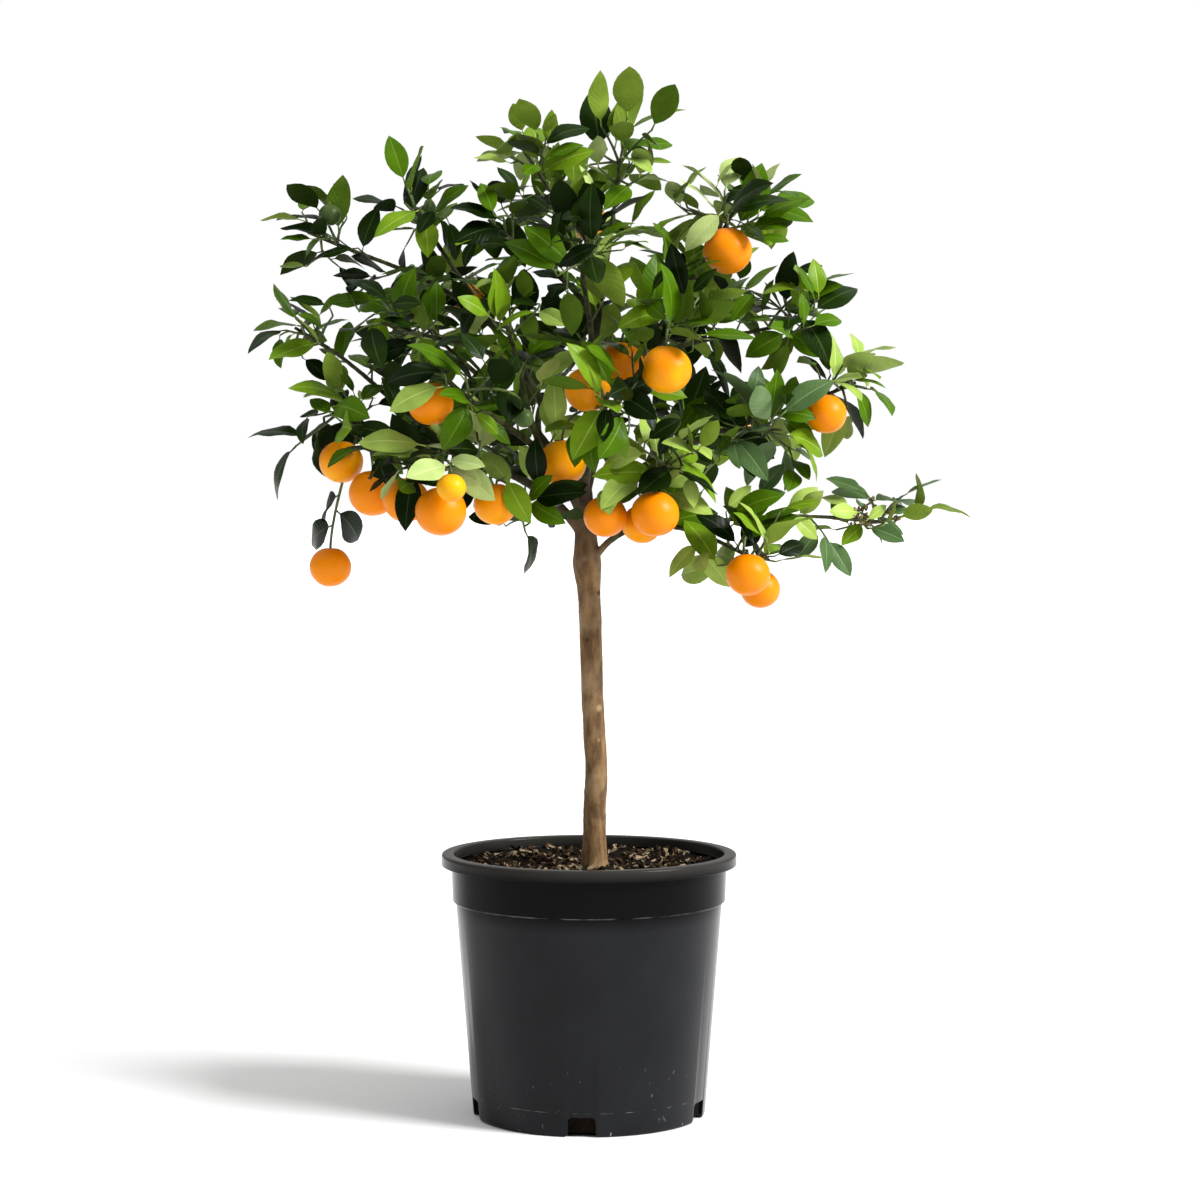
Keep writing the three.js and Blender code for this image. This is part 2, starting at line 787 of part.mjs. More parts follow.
// One shoot from the stem to its target, drawn back until it lies in the mass's space and clear
// of every limb and fruit.
function shootOf(mass, stem, target, share, spill, balls) {
  const foot = stem.curve.getPoint(share);
  for (let drawn = 1; drawn > SHORTEST_DRAWN; drawn -= DRAWN_STEP) {
    const end = foot.clone().lerp(target, drawn);
    const length = foot.distanceTo(end);
    if (length < SHORTEST_SHOOT) return null;
    const curve = new THREE.LineCurve3(foot, end);
    const points = SHOOT_PROBES.map((t) => curve.getPoint(t));
    const free = (p) => inSpace(mass, p, SHOOT_MARGIN, spill) && clearOf(p, SHOOT_RADIUS, balls);
    if (points.every(free)) {
      const radiusAt = (t) => THREE.MathUtils.lerp(SHOOT_RADIUS, SHOOT_TIP_RADIUS, t);
      return { curve, radiusAt, sides: TWIG_SIDES, rings: 1, length, spill };
    }
  }
  return null;
}

// A leaf as a kite: root, tip and the two widest points.
function leafFrame(root, heading, face, length) {
  const across = heading.clone().cross(face).normalize();
  const half = (length * LEAF_WIDTH) / LEAF_LENGTH / 2;
  const belly = root.clone().addScaledVector(heading, length * LEAF_BELLY);
  const tip = root.clone().addScaledVector(heading, length).addScaledVector(face, -length * LEAF_DROOP);
  const left = belly.clone().addScaledVector(across, -half);
  const right = belly.clone().addScaledVector(across, half);
  const leaf = { root, heading, face, across, length, half, tip, left, right };
  return { ...leaf, balls: ballsOn(leaf) };
}

// Whether a ball touches a leaf.
function touchesLeaf(leaf, { at, radius }) {
  const from = at.clone().sub(leaf.root);
  const reach = radius + CLEARANCE;
  const forward = from.dot(leaf.heading);
  const sideways = Math.abs(from.dot(leaf.across));
  if (forward < -reach || forward > leaf.length + reach) return false;
  const share = THREE.MathUtils.clamp(forward / leaf.length, 0, 1);
  const past = Math.max(0, share - LEAF_BELLY) / (1 - LEAF_BELLY);
  const half = leaf.half * Math.min(share / LEAF_BELLY, 1 - past);
  const off = Math.abs(from.dot(leaf.face) + past * leaf.length * LEAF_DROOP);
  return off < reach + LEAF_THICKNESS / 2 && sideways < half + reach;
}

// A leaf as small balls along its midrib and edges.
function ballsOn(leaf) {
  const on = (from, to, shares) =>
    shares.map((share) => ({ at: from.clone().lerp(to, share), radius: LEAF_THICKNESS / 2 }));
  return [
    ...on(leaf.root, leaf.tip, RIB_BALLS),
    ...[leaf.left, leaf.right].flatMap((side) => [
      ...on(leaf.root, side, ROOT_EDGE_BALLS),
      ...on(leaf.tip, side, TIP_EDGE_BALLS),
    ]),
  ];
}

const crosses = (leaf, other) =>
  other.balls.some((ball) => touchesLeaf(leaf, ball)) ||
  leaf.balls.some((ball) => touchesLeaf(other, ball));

// The leaves of one shoot: places at even steps back from its tip, each turned on from the last.
// A leaf that finds no room is made smaller, then skipped.
function addLeaves(mass, k, shoot, balls, leaves) {
  for (let slot = 0; slot * LEAF_STEP < shoot.length - BARE_FOOT; slot++) {
    const roll = dice(mass.seed, k, slot, 3);
    const share = Math.min(LAST_LEAF, 1 - (slot * LEAF_STEP) / shoot.length);
    const root = shoot.curve.getPoint(share);
    const along = shoot.curve.getTangent(share);
    const size = LEAF_LENGTH * (LEAF_LEAST + LEAF_VARIES * roll());
    const angles = slot === 0 ? END_SPREAD : SIDE_SPREAD;
    const spread = rad(angles.from + angles.over * roll());
    const turn = rad(TURN_DEG) * slot + roll() * LEAF_STRAY + k;
    const tilt = (roll() - 0.5) * LEAF_TILT;
    const level = Math.abs(along.z) > NEARLY_UPRIGHT ? vec([1, 0, 0]) : UP;
    const side = along.clone().cross(level).normalize();
    for (let attempt = 0; attempt < LEAF_TRIES; attempt++) {
      const out = side.clone().applyAxisAngle(along, turn + attempt * LEAF_RETRY_TURN);
      const heading = along.clone().multiplyScalar(Math.cos(spread));
      heading.addScaledVector(out, Math.sin(spread)).addScaledVector(UP, LEAF_RISE).normalize();
      const face = UP.clone().addScaledVector(along, LEAF_LEAN).addScaledVector(side, tilt);
      face.addScaledVector(heading, -face.dot(heading)).normalize();
      const shrunk = 1 - LEAF_SHRINK * Math.floor(attempt / LEAF_TRIES_PER_SIZE);
      const leaf = leafFrame(root, heading, face, size * shrunk);
      const edges = [leaf.tip, leaf.left, leaf.right];
      const fits =
        edges.every((p) => inSpace(mass, p, LEAF_MARGIN, shoot.spill * LEAF_SPILL)) &&
        !balls.some((ball) => touchesLeaf(leaf, ball)) &&
        !leaves.some((other) => crosses(leaf, other));
      if (!fits) continue;
      leaves.push(leaf);
      break;
    }
  }
}

// Everything that one mass grows: its shoots, and the leaves on them and on its fruit stalks.
function growMass(mass, stem, stalks, balls) {
  const close = (ball) => ball.at.distanceTo(vec(mass.centre)) < ball.radius + NEIGHBOURS;
  const near = balls.filter((ball) => ball.owner !== `stem ${mass.name}` && close(ball));
  const shoots = [];
  const add = (target, share, spill) => {
    const shoot = shootOf(mass, stem, target, share, spill, near);
    if (!shoot) return false;
    const end = shoot.curve.getPoint(1);
    if (shoots.some((other) => other.curve.getPoint(1).distanceTo(end) < SHOOTS_APART)) return false;
    shoots.push(shoot);
    return true;
  };
  for (const reach of mass.reach) add(vec(reach), REACH_FROM, Infinity);
  for (let k = 0; k < mass.shoots; k++) {
    for (let attempt = 0; attempt < SHOOT_TRIES; attempt++) {
      const way = wayOf(mass, k, attempt).multiply(vec(mass.radius));
      const place = (k * SHOOT_SKIP) % mass.shoots;
      const share = SHOOTS_FROM + (SHOOTS_OVER * place) / (mass.shoots - 1);
      if (add(way.multiplyScalar(SHOOT_REACH).add(vec(mass.centre)), share, 1)) break;
    }
  }
  const leaves = [];
  const bearing = stalks.map((stalk) => ({ ...stalk, spill: Infinity }));
  [...shoots, ...bearing].forEach((shoot, k) => {
    const own = [stem, ...shoots, ...bearing].filter((limb) => limb !== shoot);
    const others = near.filter((ball) => ball.owner !== `stalk ${mass.name}`);
    others.push(...own.flatMap((limb) => ballsAlong(limb).slice(FOOT_BALLS)));
    addLeaves(mass, k, shoot, others, leaves);
  });
  return { shoots, leaves };
}

// ---------- foliage as solids ----------

// A leaf is a ball of six faces drawn out into a kite: its poles are the root and the tip, its
// middle ring is the two widest points and one under the midrib.
function leafSolid(leaf) {
  const root = leaf.root.clone().addScaledVector(leaf.heading, -LEAF_SINK);
  const midrib = leaf.root.clone().addScaledVector(leaf.heading, leaf.length * LEAF_KEEL);
  const under = midrib.addScaledVector(leaf.face, -LEAF_THICKNESS);
  const kite = new THREE.SphereGeometry(1, 3, 2);
  const place = kite.attributes.position;
  for (let i = 0; i < place.count; i++) {
    const side = place.getZ(i) > 0 ? leaf.left : leaf.right;
    const ring = place.getX(i) < -0.5 ? under : side;
    const pole = place.getY(i) > 0 ? leaf.tip : root;
    const to = Math.abs(place.getY(i)) > 0.5 ? pole : ring;
    place.setXYZ(i, to.x, to.y, to.z);
  }
  return solidOf(kite);
}

function fruitSolid([x, y, z, width]) {
  const sides = width > SMALL_FRUIT ? FRUIT_SIDES : SMALL_FRUIT_SIDES;
  const ball = new THREE.SphereGeometry((width / 2) * FRUIT_SWELL, sides, sides - 2);
  return solidOf(ball.scale(1, 1, FRUIT_SQUASH).translate(x, y, z));
}

function foliageSolid(stem, stalks, grown) {
  const twigs = [stem, ...stalks, ...grown.shoots].map((limb) => limbSolid(limb));
  const fruit = stalks.map((stalk) => fruitSolid(stalk.fruit));
  return largest(Manifold.union([...twigs, ...fruit, ...grown.leaves.map(leafSolid)]));
}

// ---------- the tree ----------

const finish = (colour, roughness) =>
  new THREE.MeshStandardMaterial({ color: colour, roughness, metalness: 0 });
const POT_PLASTIC = finish(0x1f1f21, 0.42);
const SOIL = finish(0x3a2c20, 0.95);
const BARK = finish(0x8a6e4c, 0.8);
const GREEN_BARK = finish(0x4d5a2c, 0.7);
const LEAF_GREEN = finish(0x3f5c17, 0.45);

const tree = new THREE.Group();

function addPart(name, solid, material) {
  const part = new THREE.Mesh(geometryOf(solid), material);
  part.name = name;
  tree.add(part);
}

addPart("pot", potSolid(), POT_PLASTIC);
addPart("soil", soilSolid(), SOIL);
addTrunk();
MASSES.forEach(addBough);
addPart("trunk", limbs.get("trunk").solid, BARK);
for (const mass of MASSES) addPart(`bough_${mass.name}`, limbs.get(mass.name).solid, GREEN_BARK);

const stems = MASSES.map(stemOf);
const stalks = MASSES.map((mass, i) => mass.fruit.map((fruit) => stalkOf(mass, fruit, stems[i])));
const balls = [...limbs.values()].flatMap((limb) => ballsAlong(limb, "limb"));
MASSES.forEach((mass, i) => {
  balls.push(...ballsAlong(stems[i], `stem ${mass.name}`));
  for (const stalk of stalks[i]) {
    const [x, y, z, width] = stalk.fruit;
    balls.push(...ballsAlong(stalk, `stalk ${mass.name}`));
    balls.push({ at: new THREE.Vector3(x, y, z), radius: width / 2, owner: "fruit" });
  }
});
MASSES.forEach((mass, i) => {
  const grown = growMass(mass, stems[i], stalks[i], balls);
  addPart(`foliage_${mass.name}`, foliageSolid(stems[i], stalks[i], grown), LEAF_GREEN);
});

export default tree;
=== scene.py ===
"""Dresses the frame of a calamondin orange tree that stands in a black nursery pot.

The crown grows by the same seeded rule as the frame's masses of foliage and is carried on to finer
twigs. Sizes in the rule are millimetres; meshes are made in metres, standing on z = 0.
"""

import json
import math
from functools import lru_cache

import bmesh
import bpy
import numpy as np
from mathutils import Matrix, Vector, kdtree, noise

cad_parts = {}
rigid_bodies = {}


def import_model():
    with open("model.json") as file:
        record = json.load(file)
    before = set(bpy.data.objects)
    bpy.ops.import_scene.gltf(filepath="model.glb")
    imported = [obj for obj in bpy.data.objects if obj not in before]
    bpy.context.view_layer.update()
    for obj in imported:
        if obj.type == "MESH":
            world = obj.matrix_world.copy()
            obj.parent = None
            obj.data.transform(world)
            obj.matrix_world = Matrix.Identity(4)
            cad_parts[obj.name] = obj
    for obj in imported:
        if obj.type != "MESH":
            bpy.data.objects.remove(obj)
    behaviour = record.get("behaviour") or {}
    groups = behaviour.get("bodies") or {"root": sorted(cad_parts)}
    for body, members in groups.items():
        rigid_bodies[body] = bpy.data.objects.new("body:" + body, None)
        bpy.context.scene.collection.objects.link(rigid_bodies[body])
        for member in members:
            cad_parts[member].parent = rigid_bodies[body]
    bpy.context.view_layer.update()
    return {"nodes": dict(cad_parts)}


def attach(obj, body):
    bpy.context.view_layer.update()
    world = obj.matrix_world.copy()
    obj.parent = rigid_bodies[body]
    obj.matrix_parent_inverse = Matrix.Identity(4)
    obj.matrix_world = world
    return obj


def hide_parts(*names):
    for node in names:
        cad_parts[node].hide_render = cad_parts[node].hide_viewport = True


bl_info = {
    "name": "Potted Calamondin Orange",
    "version": (1, 0, 0),
    "blender": (4, 5, 0),
    "location": "View3D > Sidebar > Citrus",
    "description": "Pot, soil, bark, twigs, leaves and fruit of a small calamondin orange tree",
    "category": "Add Mesh",
}

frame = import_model()
NODES = sorted(frame["nodes"])
MM = 0.001

# ---------- named sizes, in millimetres ----------

GAP = 0.3
POT_HEIGHT = 200
RIM_RADIUS = 112.5
RIM_HEIGHT = 9
WALL = 1.8
WALL_TOP_RADIUS = 104.8
STEP_Z = 164
STEP_UPPER_RADIUS = 103.9
STEP_LOWER_RADIUS = 101.4
BASE_RADIUS = 88.4
FLOOR = 3
DRAIN_COUNT = 5
DRAIN_WIDTH = 20.5
DRAIN_HEIGHT = 15
DRAIN_FLARE = 3
DRAIN_INSIDE_RADIUS = 77
DRAIN_TURN_DEG = -3.5

SOIL_TOP = 188.7
SOIL_FLAT_RADIUS = 17
SOIL_HEAP = 3.5

TRUNK_FOOT_Z = 189
TRUNK_LINE = [
    (4.2, 0, 189),
    (4.3, 0, 232),
    (5.6, 0, 262),
    (3.0, -0.5, 312),
    (0.8, 0.5, 380),
    (-1.3, 0, 420),
    (-4.5, 1, 474),
]
TRUNK_RADIUS = 8.6
TRUNK_TOP_RADIUS = 7.2
ROOT_FLARE = 1.9
FLARE_HEIGHT = 22
COLLAR_Z = 420
COLLAR_SWELL = 2.0
COLLAR_SPREAD = 13
TAPER_FROM_Z = 425

BOUGH_RADIUS = 4.2
SIDE_BOUGH_RADIUS = 3.0
BOUGH_TIP_RADIUS = 1.7
BOUGH_ARCH = 0.04
BOUGH_ENTRY = 0.5
BOUGH_START = 0.2  # how far a bough runs on along its parent before it turns, as a share,
BOUGH_RUN_IN = 0.3  # and how far it heads straight for its mass
BOUGH_SHARE = 0.85  # a bough's foot is at most this share of its parent's radius

CROWN_HEART = np.array([0.0, 0.0, 560.0])
STEM_RADIUS = 2.0
STEM_TIP_RADIUS = 1.7
STEM_REACH = 1.5
SHOOT_RADIUS = 1.15
SHOOT_TIP_RADIUS = 0.9
SHOOT_REACH = 0.66
SHOOT_OUT = 0.3
SHOOT_RISE = 0.3
SHORTEST_SHOOT = 14
SHOOTS_APART = 16
SHOOT_TRIES = 4
SEED_TURN = 1.7  # how far each seed turns the ring of shoots, in radians,
TRY_TURN = 0.6  # and each further try
SHOOT_JITTER = 0.5  # how far chance bends the way that a shoot sets out
SHOOT_DRAW = 0.12  # a shoot without room is drawn back by this share of its run,
SHOOT_LEAST = 0.4  # down to this share
SHOOT_FROM = 0.2  # the shoots leave their stem from this share of it,
SHOOT_OVER = 0.76  # over this share of it,
REACH_FROM = 0.9  # and the named longer shoots from here
TURN = math.radians(137.5)

LEAF_LENGTH = 48
LEAF_WIDTH = 23
LEAF_BELLY = 0.47
LEAF_DROOP = 0.05
LEAF_THICKNESS = 1.4
LEAF_STEP = 10.5
LEAF_RISE = 0.22
LEAF_TILT = 2.6
LEAF_TRIES = 12
LEAF_NUDGE = 1.7  # a leaf without room is turned on by this angle, in radians,
LEAF_SHRINK = 0.14  # and made smaller by this share
TRIES_EACH_SIZE = 4
LEAF_SIZES = (0.84, 0.3)  # a leaf's least size as a share, and how much chance adds to it
SIDE_SPREAD = (40, 26)  # the same for the degrees from the shoot to a side leaf,
TIP_SPREAD = (8, 24)  # and to the leaf at its tip
LEAF_CHANCE = 2.4  # how far chance turns a leaf round its shoot, in radians
LEAF_FACE = 0.5  # how much a leaf faces along its shoot
LAST_LEAF = 0.97  # the place on its shoot of the leaf at the tip
LEAF_SPILL = 1.3
BARE_FOOT = 8
BARE_SHARE = 0.3  # no more of a short shoot than this is bare
CLEARANCE = 0.6
BALL_STEP = 2.5  # distance of the balls that stand for a limb
MASS_NEAR = 130  # what is further than this from a mass's middle can't touch it

FRUIT_SQUASH = 0.95
STALK_RADIUS = 1.4
STALK_SINK = 3
STALK_FEET = (0.3, 0.6)  # where on the stem the stalk of a low and of another fruit starts
LOW_FRUIT = 20  # a low fruit hangs this far under its mass's middle
STALK_RUN = 0.35  # how far a stalk runs before it bends over, as a share of its span
STALK_ARCH = 0.12
STALK_DROP = 22

# The masses of the crown. limb: what its bough leaves, and how far along it. arch: how
# far the bough arches up. thick: its radius at its foot. centre, radius: the ellipsoid that the
# mass fills. seed: of its dice. reach: ends of longer shoots. fruit: x, y, z and width of each.
# spray: which tints its sprays of leaves draw from, darker for masses in the crown's shade and
# lighter for those in the key light, as painted light and shade. leaf: how large its leaves are.
# veils: which of its fruit hang behind a leaf. buds: whether its shoots bear flower buds.
MASSES = [
    dict(name="top", limb=("trunk", 0.985), centre=(22, 14, 716), radius=(42, 44, 44), seed=79,
         shoots=5, reach=[(9, 10, 752), (29, 4, 757), (48, -2, 748), (0, 14, 738)], spray="fresh"),
    dict(name="upper_left", limb=("trunk", 0.95), centre=(-124, -15, 680), radius=(46, 44, 50),
         seed=69, shoots=5, reach=[(-138, -20, 706)], spray="deep"),
    dict(name="left_low", limb=("trunk", 0.89), centre=(-180, -38, 532), radius=(44, 42, 48),
         seed=49, shoots=5, reach=[(-220, -34, 508)],
         fruit=[(-184, -46, 497, 33), (-159, -66, 474, 36), (-192, -50, 419, 31)], spray="deep",
         veils=(0, 1)),
    dict(name="left_front", limb=("trunk", 0.925), centre=(-92, -132, 550), radius=(48, 40, 40),
         seed=12, shoots=6, fruit=[(-113, -128, 538, 33), (-46, -152, 527, 14)], spray="mixed"),
    dict(name="centre_front", limb=("trunk", 0.97), centre=(12, -124, 543), radius=(46, 42, 42),
         seed=67, shoots=6, fruit=[(-1, -98, 549, 34), (-20, -62, 496, 36)], spray="mixed"),
    dict(name="right_low", limb=("trunk", 0.805), arch=0.2, thick=3, centre=(118, -54, 442),
         radius=(46, 40, 44), seed=50, shoots=5, reach=[(100, -46, 420), (150, -50, 476)],
         fruit=[(117, -70, 414, 33), (128, -37, 402, 30)], spray="bright"),
    dict(name="upper_right", limb=("trunk", 0.975), centre=(104, -10, 680), radius=(56, 48, 50),
         seed=58, shoots=4, reach=[(118, 4, 700), (138, 0, 694)], fruit=[(102, -62, 652, 36)],
         spray="fresh", veils=(0,)),
    dict(name="right_far", limb=("trunk", 0.91), centre=(192, 10, 556), radius=(44, 42, 46),
         seed=40, shoots=6, fruit=[(177, -34, 533, 31)], spray="bright"),
    dict(name="back_left", limb=("trunk", 0.94), centre=(-128, 90, 608), radius=(54, 52, 52),
         seed=50, shoots=4, fruit=[(-91, 124, 625, 34)], spray="deep", veils=(0,)),
    dict(name="top_left", limb=("top", 0.66), centre=(-44, -14, 726), radius=(42, 44, 42), seed=89,
         shoots=6, spray="fresh"),
    dict(name="upper_mid", limb=("top", 0.5), centre=(-66, -38, 672), radius=(44, 42, 42), seed=74,
         shoots=5, spray="deep"),
    dict(name="centre_high", limb=("top", 0.36), centre=(-5, -88, 645), radius=(50, 44, 50),
         seed=48, shoots=5, fruit=[(-21, -75, 690, 17)], spray="deep"),
    dict(name="back_top", limb=("top", 0.56), centre=(-22, 86, 692), radius=(52, 46, 46), seed=36,
         shoots=4, fruit=[(-2, 118, 690, 33)], spray="mid", veils=(0,)),
    dict(name="left_high", limb=("upper_left", 0.6), centre=(-203, 10, 670), radius=(42, 40, 42),
         seed=1, shoots=6, fruit=[(-195, -10, 683, 17)], spray="mid"),
    dict(name="left_inner", limb=("upper_left", 0.42), centre=(-144, -46, 600), radius=(44, 42, 48),
         seed=9, shoots=5, spray="deep"),
    dict(name="left_mid", limb=("left_low", 0.6), centre=(-214, 4, 596), radius=(40, 40, 36),
         seed=79, shoots=6, spray="mid"),
    dict(name="left_front_low", limb=("left_low", 0.4), centre=(-116, -112, 492),
         radius=(50, 42, 38), seed=84, shoots=6,
         fruit=[(-133, -97, 469, 34), (-106, -127, 461, 37), (-97, -160, 478, 21)], spray="sunny",
         veils=(0, 1)),
    dict(name="back_low_left", limb=("left_low", 0.3), centre=(-96, 100, 520), radius=(56, 50, 46),
         seed=3, shoots=4, fruit=[(-134, 130, 512, 36)], spray="deep"),
    dict(name="left_centre", limb=("left_front", 0.42), centre=(-62, -74, 604), radius=(48, 44, 44),
         seed=60, shoots=6, spray="mixed"),
    dict(name="low_centre", limb=("left_front", 0.28), centre=(-48, -76, 468), radius=(44, 40, 36),
         seed=22, shoots=5, reach=[(-47, -70, 446), (-30, -98, 484)], fruit=[(-68, -92, 466, 32)],
         spray="mixed", veils=(0,)),
    dict(name="centre_right", limb=("centre_front", 0.45), centre=(66, -92, 602),
         radius=(48, 44, 48), seed=5, shoots=5, fruit=[(55, -136, 562, 36), (24, -36, 570, 34)],
         spray="mid"),
    dict(name="centre_low_right", limb=("right_low", 0.36), centre=(56, -84, 497),
         radius=(44, 42, 42), seed=93, shoots=6,
         fruit=[(12, -88, 457, 32), (48, -101, 459, 35), (39, -64, 451, 30)], spray="bright"),
    dict(name="right_long", limb=("right_low", 0.6), centre=(212, -8, 456), radius=(50, 30, 30),
         seed=45, shoots=5, reach=[(238, -6, 472), (253, -8, 461), (204, -10, 484)], spray="hazy",
         leaf=0.76, buds=True),
    dict(name="right_high", limb=("upper_right", 0.42), centre=(150, -20, 604), radius=(50, 46, 50),
         seed=41, shoots=5, spray="mid"),
    dict(name="back_right", limb=("upper_right", 0.34), centre=(88, 88, 622), radius=(54, 50, 52),
         seed=52, shoots=4, fruit=[(84, 122, 631, 35)], spray="mid"),
    dict(name="right_mid", limb=("right_far", 0.55), centre=(134, -44, 524), radius=(54, 44, 46),
         seed=79, shoots=6, spray="grey"),
    dict(name="back_low_right", limb=("right_far", 0.36), centre=(84, 100, 522),
         radius=(54, 50, 46), seed=21, shoots=4, fruit=[(112, 134, 527, 36)], spray="deep"),
    dict(name="back_centre", limb=("back_left", 0.36), centre=(-6, 128, 590), radius=(54, 48, 52),
         seed=34, shoots=4, fruit=[(26, 162, 570, 34)], spray="mid"),
]
CENTRES = np.array([mass["centre"] for mass in MASSES], float)
RADII = np.array([mass["radius"] for mass in MASSES], float)
MEAN_RADII = RADII.mean(axis=1)
UP = np.array([0.0, 0.0, 1.0])

# ---------- curves ----------


def vec(*numbers):
    """Three numbers as an array."""
    return np.array(numbers, float)


def unit(v):
    """A vector of length one."""
    return v / np.linalg.norm(v)


def square_to(heading, face):
    """A face turned square to a heading."""
    return unit(face - heading * (face @ heading))


def around(along, side, angle):
    """The way out of a limb at an angle round it."""
    return side * math.cos(angle) + np.cross(along, side) * math.sin(angle)


class Line:
    """A straight run from a foot to an end."""

    def __init__(self, foot, end):
        self.foot, self.end = foot, end

    def point(self, t):
        """The place at share t of the way."""
        return self.foot + (self.end - self.foot) * t

    def tangent(self, t):
        """The heading at share t."""
        return unit(self.end - self.foot)


class Bend:
    """A cubic curve pulled by its two middle points."""

    def __init__(self, *knots):
        self.knots = [np.array(k, float) for k in knots]

    def point(self, t):
        """The place at share t of the way."""
        a, b, c, d = self.knots
        s = 1 - t
        return a * s**3 + b * 3 * s * s * t + c * 3 * s * t * t + d * t**3

    def tangent(self, t):
        """The heading at share t."""
        low, high = max(0, t - 1e-4), min(1, t + 1e-4)
        return unit(self.point(high) - self.point(low))


class Spline(Bend):
    """A smooth curve through all of its points."""

    def point(self, t):
        """The place at share t of the way."""
        knots = self.knots
        place = (len(knots) - 1) * t
        i = min(int(place), len(knots) - 2)
        w = place - i
        before = knots[i - 1] if i else 2 * knots[0] - knots[1]
        after = knots[i + 2] if i + 2 < len(knots) else 2 * knots[-1] - knots[-2]
        p, q = knots[i], knots[i + 1]
        s, e = (q - before) / 2, (after - p) / 2
        return p + s * w + (-3 * p + 3 * q - 2 * s - e) * w**2 + (2 * p - 2 * q + s + e) * w**3


class Limb:
    """A curve with a radius along it. kind: trunk, bough, stem, shoot, spur or stalk."""

    def __init__(self, curve, foot_radius, tip_radius, kind, **facts):
        self.curve, self.kind = curve, kind
        self.radii = (foot_radius, tip_radius)
        self.bow, self.shift = np.zeros(3), np.zeros(3)
        self.__dict__.update(facts)

    def radius(self, t):
        """Its radius at share t."""
        if self.kind == "trunk":
            return trunk_radius(self.curve.point(t)[2])
        return self.radii[0] + (self.radii[1] - self.radii[0]) * t

    def place(self, t):
        """The place at share t, with the limb's slight bow, moved along with its parent's."""
        return self.curve.point(t) + self.bow * math.sin(math.pi * t) + self.shift


def smoothstep(x, low, high):
    """An even change from 0 at low to 1 at high."""
    t = min(1, max(0, (x - low) / (high - low)))
    return t * t * (3 - 2 * t)


def trunk_radius(z):
    """The trunk's radius at a height, with its root flare and its pruning collar."""
    flare = ROOT_FLARE * math.exp(-(z - TRUNK_FOOT_Z) / (FLARE_HEIGHT / 2))
    collar = COLLAR_SWELL * math.exp(-(((z - COLLAR_Z) / COLLAR_SPREAD) ** 2))
    drawn = smoothstep(z, TAPER_FROM_Z, TRUNK_LINE[-1][2])
    return TRUNK_RADIUS + (TRUNK_TOP_RADIUS - TRUNK_RADIUS) * drawn + flare + collar


# ---------- the rule that the crown grows by ----------


def dice(*seeds):
    """A seeded dice: the same seeds give the same draws, each from 0 to 1. The last seed tells
    the draws for one purpose from those for another."""
    state = 1
    for seed in seeds:
        state = (state * 31 + seed * 7919 + 17) & 0xFFFFFFFF

    def roll():
        nonlocal state
        state = (state * 1664525 + 1013904223) & 0xFFFFFFFF
        return state / 4294967296

    for _ in range(5):
        roll()
    return roll


def swing(roll, width):
    """A draw to either side of zero, over a width."""
    return (roll() - 0.5) * width


def draw(roll, span):
    """A draw from a span, given as its least value and how much chance adds to it."""
    return span[0] + span[1] * roll()


@lru_cache(maxsize=None)
def limbs():
    """The trunk and the boughs by name. A bough leaves its parent a little way along it, arches
    over and ends inside its mass."""
    made = {"trunk": Limb(Spline(*TRUNK_LINE), TRUNK_RADIUS, TRUNK_TOP_RADIUS, "trunk")}
    for mass in MASSES:
        parent_name, share = mass["limb"]
        parent = made[parent_name]
        start, along = parent.curve.point(share), parent.curve.tangent(share)
        centre = vec(*mass["centre"])
        inwards = unit(start - centre)
        end = centre + inwards * np.linalg.norm(inwards * mass["radius"]) * BOUGH_ENTRY
        span = end - start
        length = np.linalg.norm(span)
        lift = UP * length * mass.get("arch", BOUGH_ARCH)
        curve = Bend(
            start,
            start + along * length * BOUGH_START + span * BOUGH_START + lift,
            end + inwards * length * BOUGH_RUN_IN + lift,
            end,
        )
        thick = mass.get("thick", BOUGH_RADIUS if parent_name == "trunk" else SIDE_BOUGH_RADIUS)
        foot_radius = min(thick, parent.radius(share) * BOUGH_SHARE)
        made[mass["name"]] = Limb(curve, foot_radius, BOUGH_TIP_RADIUS, "bough", length=length)
    return made


def in_space(i, p, margin, spill):
    """Whether a point is in a mass's own space: in its share of the crown, and no further out
    than spill times its rounded outline."""
    if np.linalg.norm((p - CENTRES[i]) / RADII[i]) >= spill:
        return False
    power = ((CENTRES - p) ** 2).sum(axis=1) - MEAN_RADII**2
    apart = np.linalg.norm(CENTRES - CENTRES[i], axis=1)
    room = (power - power[i]) / (2 * np.where(apart, apart, 1))
    return np.delete(room, i).min() > margin


def balls_along(limb):
    """Balls along a limb, as rows of x, y, z and radius, which leaves and twigs keep clear of."""
    count = math.ceil(np.linalg.norm(limb.curve.point(0) - limb.curve.point(1)) / BALL_STEP)
    shares = [i / count for i in range(count + 1)]
    return np.array([[*limb.curve.point(t), limb.radius(t)] for t in shares])


def stem_of(i):
    """The stem of a mass: it carries straight on from the bough's tip, through the middle."""
    bough = limbs()[MASSES[i]["name"]]
    heading = bough.curve.tangent(1)
    foot = bough.curve.point(1) + heading * GAP
    length = np.linalg.norm(foot - CENTRES[i]) * STEM_REACH
    curve = Line(foot, foot + heading * length)
    return Limb(curve, STEM_RADIUS, STEM_TIP_RADIUS, "stem", length=length)


